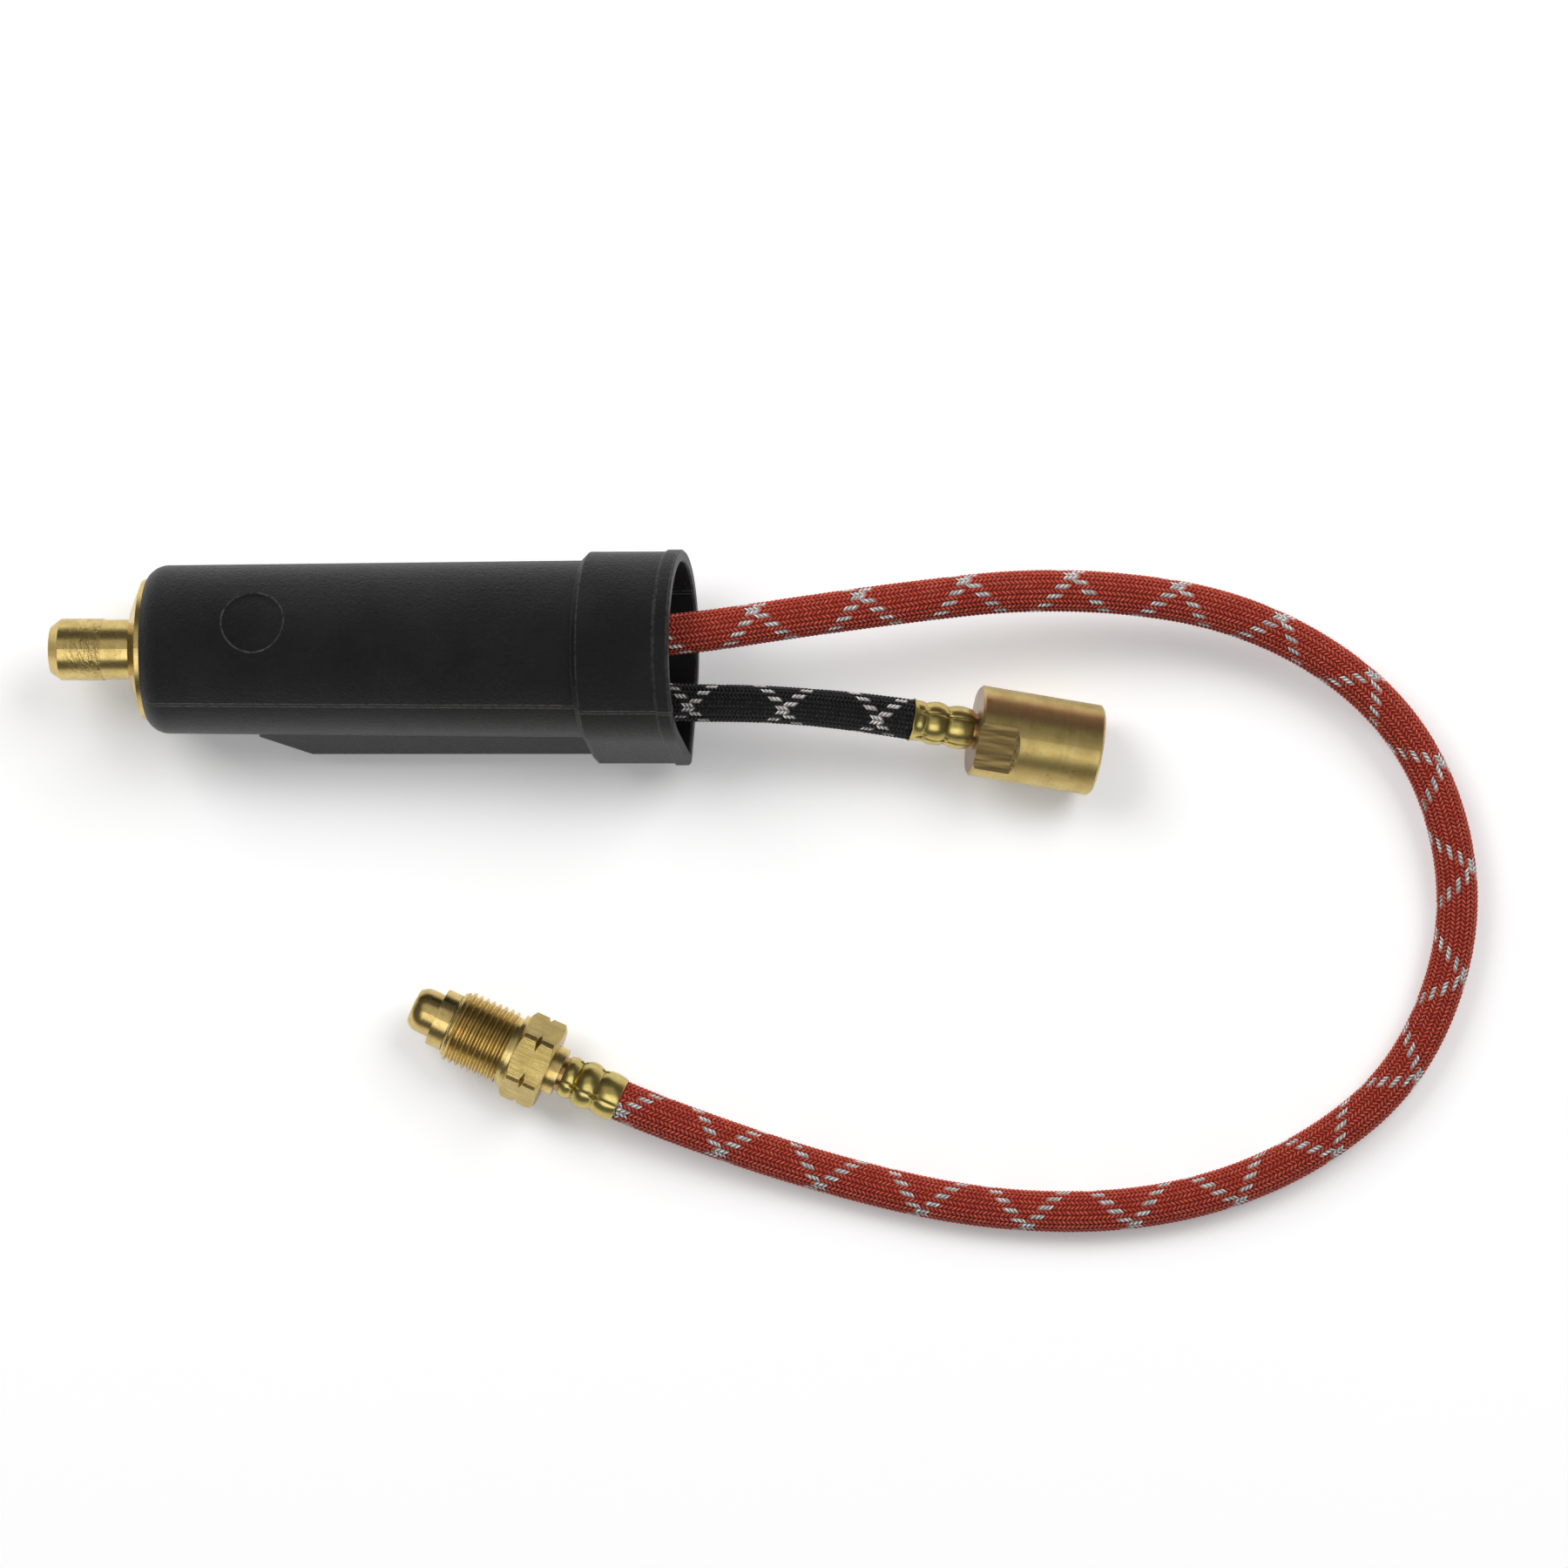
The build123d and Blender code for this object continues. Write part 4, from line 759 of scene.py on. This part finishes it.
# ================================================================ brass fittings
plug_brass = turned_brass("plug_brass", plug_frame, YELLOW_BRASS, marks=pin_marks)
stem_brass = turned_brass(
    "stem_brass", stem_frame, YELLOW_BRASS, marks=neck_marks(STEM_FERRULE_START - 0.45, 0.40)
)
nut_brass = turned_brass(
    "nut_brass", stem_frame, YELLOW_BRASS, rough=0.26, bar_from=NUT_HEX_START, marks=nut_marks
)
coupler_brass = turned_brass(
    "coupler_brass", coupler_frame, BROWN_BRASS, rough=0.36, lines=0.8, marks=coupler_marks
)
power_stem_brass = turned_brass(
    "power_stem_brass", coupler_frame, YELLOW_BRASS,
    marks=neck_marks(COUPLER_FERRULE_START - 0.3, 0.5),
)
port_brass = turned_brass("port_brass", return_port_frame, YELLOW_BRASS)
paint("connector_plug", plug_brass.material)
paint("manifold_block", plug_brass.material)
paint("gallery_plug", plug_brass.material)
paint("return_nipple", port_brass.material)
paint("power_nipple", port_brass.material)
paint("bull_nose_stem", stem_brass.material)
paint("power_coupler", coupler_brass.material)
paint("power_stem", power_stem_brass.material)
washer_copper = plain_part("washer_copper", (0.62, 0.28, 0.15), (0.48, 0.20, 0.10), 0.35, 1.0)
seal_rubber = plain_part("seal_rubber", (0.012, 0.012, 0.012), (0.02, 0.02, 0.02), 0.5)
paint("nipple_washers", washer_copper.material)
paint("manifold_seal", seal_rubber.material)


# ================================================================ coupling nut
def lead_cone(x):
    """Radius of the cone that leads the thread in."""
    return LEAD_START_R + (x - NUT_START) / LEAD_SLOPE


def nut_body():
    """The nut without its thread's ridge: bore, root, shoulder and bevelled, notched hexagon."""
    columns = 240
    theta = np.arange(columns) / columns * 2 * pi
    from_flat = (theta + pi / 6) % (pi / 3) - pi / 6
    rows = [(NUT_END, NUT_BORE_R), (NUT_START, NUT_BORE_R), (NUT_START, LEAD_START_R)]
    cone_end = NUT_START + LEAD_SLOPE * (ROOT_R - LEAD_START_R)
    rows += [(cone_end, ROOT_R), (NUT_SHOULDER_START, ROOT_R), (NUT_SHOULDER_START, NUT_SHOULDER_R)]
    rows += [(NUT_HEX_START, NUT_SHOULDER_R)]
    places = [(x, np.full(columns, r)) for x, r in rows]
    middle = (NUT_HEX_START + NUT_END) / 2
    bevel = np.linspace(0, BEVEL_LENGTH, 13)
    notch = np.linspace(-NOTCH_HALF, NOTCH_HALF, 9)
    stations = [*(NUT_HEX_START + bevel), *(middle + notch), *(NUT_END - bevel[::-1])]
    for x in stations:
        to_end = min(x - NUT_HEX_START, NUT_END - x)
        r = np.minimum(NUT_APOTHEM / np.cos(from_flat), NUT_CORNER_R)
        r = np.minimum(r, NUT_APOTHEM + BEVEL_SLOPE * to_end)
        r = np.minimum(r, NOTCH_BOTTOM_R + abs(x - middle) / NOTCH_SLOPE)
        places.append((x, r))
    x = np.array([place[0] for place in places])[:, None] * np.ones((1, columns))
    r = np.array([place[1] for place in places])
    return np.stack([x, r * np.sin(theta), r * np.cos(theta)], -1)


def thread_ridge():
    """The left-hand thread's V ridge, a strip that winds round and is sunk into the nut."""
    steps = 160
    # across the ridge: down one flank and the other, then back along its foot
    flank = [0.60, 0.50, 0.40, 0.30, 0.19, CREST_HALF]
    away = np.array([*flank, *[-a for a in flank[::-1]], -0.45, 0.45])
    height = CREST_R - np.maximum(0, np.abs(away) - CREST_HALF) * sqrt(3)
    height[-2:] = SUNK_R
    turns = np.arange(round(0.48 * steps), round(10.42 * steps) + 1) / steps
    x = FIRST_CREST + THREAD_PITCH * turns[:, None] + away[None, :]
    r = np.minimum(height[None, :] * np.ones_like(x), lead_cone(x))
    r = np.where((x < NUT_START) | (x > NUT_THREAD_END), SUNK_R, r)
    x = np.clip(x, NUT_START + 0.02, NUT_THREAD_END)
    theta = 2 * pi * turns[:, None]
    return np.stack([x, r * np.sin(theta), r * np.cos(theta)], -1)


nut_grid = nut_body()
nut_grid = np.concatenate([nut_grid, nut_grid[:1]])  # the last row meets the first in the bore
nut = grid_mesh("left_hand_nut", in_world(nut_grid, stem_frame))
ridge = grid_mesh("thread_ridge", in_world(thread_ridge(), stem_frame))
joined = bmesh.new()
joined.from_mesh(nut.data)
joined.from_mesh(ridge.data)
bmesh.ops.remove_doubles(joined, verts=joined.verts, dist=2e-6)
joined.to_mesh(nut.data)
joined.free()
bpy.data.meshes.remove(ridge.data)
nut.data.set_sharp_from_angle(angle=radians(22))
nut.data.materials.append(nut_brass.material)
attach(nut, "nut")
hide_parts("coupling_nut")

# ================================================================ rubber boot
PARTING_ANGLE = radians(41.8)
BEAD_OFF = 0.38   # the parting line is two thin beads, this far from the plane
BLACK = (0.0060, 0.0060, 0.0066)
SOFT_BLACK = (0.0105, 0.0105, 0.0115)
DUST = (0.060, 0.059, 0.056)
RUBBED = (0.19, 0.185, 0.175)
RUBBED_LINE = (0.130, 0.128, 0.122)


def boot_rubber():
    """Black rubber, leathery above the mould's parting line, smoother below, worn at edges."""
    m = Mat("boot_rubber", Metallic=0.0, IOR=1.5, Specular_IOR_Level=0.26)
    where = m.local(plug_frame)
    x, y, z = m.split(where)
    # distance from the parting plane, which leans to the plug's right
    off = m.math(
        "ADD", m.math("MULTIPLY", y, cos(PARTING_ANGLE)), m.math("MULTIPLY", z, sin(PARTING_ANGLE))
    )
    above = m.steps(off, 0.0, 1.0, -0.3, 0.3)
    pebble = m.math("SUBTRACT", 1.0, m.cells(m.noise_vector(where, 0.6, 0.35), 1.9))
    fine = m.noise(where, 4.2, 3.0, 0.6)
    creases = m.noise(where, 1.5, 5.0, 0.68, distortion=0.6)
    broad = m.noise(where, 0.055, 3.0, 0.6)
    grain = m.math("ADD", m.math("MULTIPLY", creases, 0.7), m.math("MULTIPLY", pebble, 0.35))
    grain = m.math("MULTIPLY", grain, m.steps(above, 0.28, 1.0))
    grain = m.math("MULTIPLY_ADD", fine, 0.22, grain)
    line = m.band(m.math("ABSOLUTE", off), BEAD_OFF, 0.10, 0.10)
    line = m.math("MULTIPLY", line, m.steps(x, 0, 1, 5.5, 8.0))
    height = m.math("MULTIPLY_ADD", line, 0.6, grain)
    edge = m.edges(0.45, 0.93, 0.998)
    rub = m.math("MULTIPLY", edge, m.steps(m.noise(where, 0.9, 4.0, 0.7), 0.15, 1.0, 0.36, 0.62))
    speck = m.steps(m.noise(where, 3.1, 3.0, 0.7), 0, 1, 0.62, 0.72)
    dust = m.math("MULTIPLY", speck, m.steps(broad, 0.15, 1.0, 0.35, 0.68))
    colour = m.mix(m.steps(broad, 0, 1, 0.35, 0.68), BLACK, SOFT_BLACK)
    colour = m.mix(m.math("MULTIPLY", dust, 0.6), colour, DUST)
    colour = m.mix(m.math("MULTIPLY", rub, 0.6), colour, RUBBED)
    patchy = m.steps(m.noise(where, 1.1, 3.0, 0.7), 0.25, 0.9, 0.34, 0.6)
    colour = m.mix(m.math("MULTIPLY", line, patchy), colour, RUBBED_LINE)
    m.set("Base Color", colour)
    roughness = m.steps(creases, 0.46, 0.32)
    m.set("Roughness", m.math("SUBTRACT", roughness, m.math("MULTIPLY", rub, 0.06)))
    m.set("Normal", m.bump(height, 0.50 * MM, 0.9, m.rounded(0.5, 8)))
    return m


paint("boot", boot_rubber().material)

# ================================================================ floor, light and background
FLOOR_LIFT = 0.26  # what camera and mirror rays see on top of the light that falls on the floor
floor_mesh = bpy.data.meshes.new("studio_floor")
FLOOR_REACH = 4.0
corners = [(-1, -1), (1, -1), (1, 1), (-1, 1)]
floor_mesh.from_pydata(
    [(x * FLOOR_REACH, y * FLOOR_REACH, 0) for x, y in corners], [], [(0, 1, 2, 3)]
)
studio_floor = bpy.data.objects.new("studio_floor", floor_mesh)
scene.collection.objects.link(studio_floor)
floor_look = Mat("studio_floor", Roughness=0.9, Specular_IOR_Level=0.1)
path = floor_look.add("LightPath").outputs
seen = floor_look.math("MAXIMUM", path["Is Camera Ray"], path["Is Glossy Ray"])
seen = floor_look.math("MAXIMUM", seen, path["Is Transmission Ray"])
floor_look.set("Base Color", floor_look.mix(seen, (0.86, 0.86, 0.86), (1.0, 1.0, 1.0)))
floor_look.set("Emission Color", (1.0, 1.0, 1.0))
floor_look.set("Emission Strength", floor_look.math("MULTIPLY", seen, FLOOR_LIFT))
floor_mesh.materials.append(floor_look.material)


def soft_light(name, place, size, power, mirrored=True, lights=True):
    """A panel aimed at the object. mirrored: metal shows it. lights: it lights surfaces."""
    light = bpy.data.lights.new(name, "AREA")
    light.shape = "RECTANGLE"
    light.size, light.size_y = size
    light.energy = power
    thing = bpy.data.objects.new(name, light)
    thing.location = place
    aim = Vector((0.09, -0.03, 0))
    thing.rotation_euler = (aim - Vector(place)).to_track_quat("-Z", "Y").to_euler()
    thing.visible_diffuse = lights
    thing.visible_glossy = mirrored
    scene.collection.objects.link(thing)


# two keys behind throw the shadow forwards; the panels overhead are what metal and rubber show
soft_light("overhead_card", (0.09, -0.72, 1.82), (1.6, 1.3), 11.5, lights=False)
soft_light("overhead_fill", (0.09, 0.62, 1.84), (1.6, 1.3), 3.4)
soft_light("left_key", (-1.0, 0.95, 1.65), (1.2, 1.2), 21, mirrored=False)
soft_light("right_key", (1.18, 0.95, 1.65), (1.2, 1.2), 21, mirrored=False)

# the pale background stands round the horizon for metal too, with a darker room above it
world = bpy.data.worlds.new("studio")
scene.world = world
world.use_nodes = True
tree = world.node_tree
tree.nodes.clear()
world_out = tree.nodes.new("ShaderNodeOutputWorld")
background = tree.nodes.new("ShaderNodeBackground")
direction = tree.nodes.new("ShaderNodeTexCoord")
parts = tree.nodes.new("ShaderNodeSeparateXYZ")
rays = tree.nodes.new("ShaderNodeLightPath")
strength = tree.nodes.new("ShaderNodeMath")
strength.operation = "MAXIMUM"
tree.links.new(direction.outputs["Generated"], parts.inputs[0])
sky = tree.nodes.new("ShaderNodeValToRGB")
sky.color_ramp.interpolation = "EASE"
# sine of the elevation, brightness
stops = [(0.0, 1.0), (0.10, 0.55), (0.26, 0.10), (1.0, 0.10)]
while len(sky.color_ramp.elements) < len(stops):
    sky.color_ramp.elements.new(0.5)
for stop, (place, level) in zip(sky.color_ramp.elements, stops):
    stop.position = place
    stop.color = (level, level, level, 1)
tree.links.new(parts.outputs["Z"], sky.inputs["Fac"])
tree.links.new(sky.outputs["Color"], strength.inputs[0])
tree.links.new(rays.outputs["Is Camera Ray"], strength.inputs[1])
tree.links.new(strength.outputs[0], background.inputs["Strength"])
tree.links.new(background.outputs[0], world_out.inputs[0])
background.inputs["Color"].default_value = (1, 1, 1, 1)
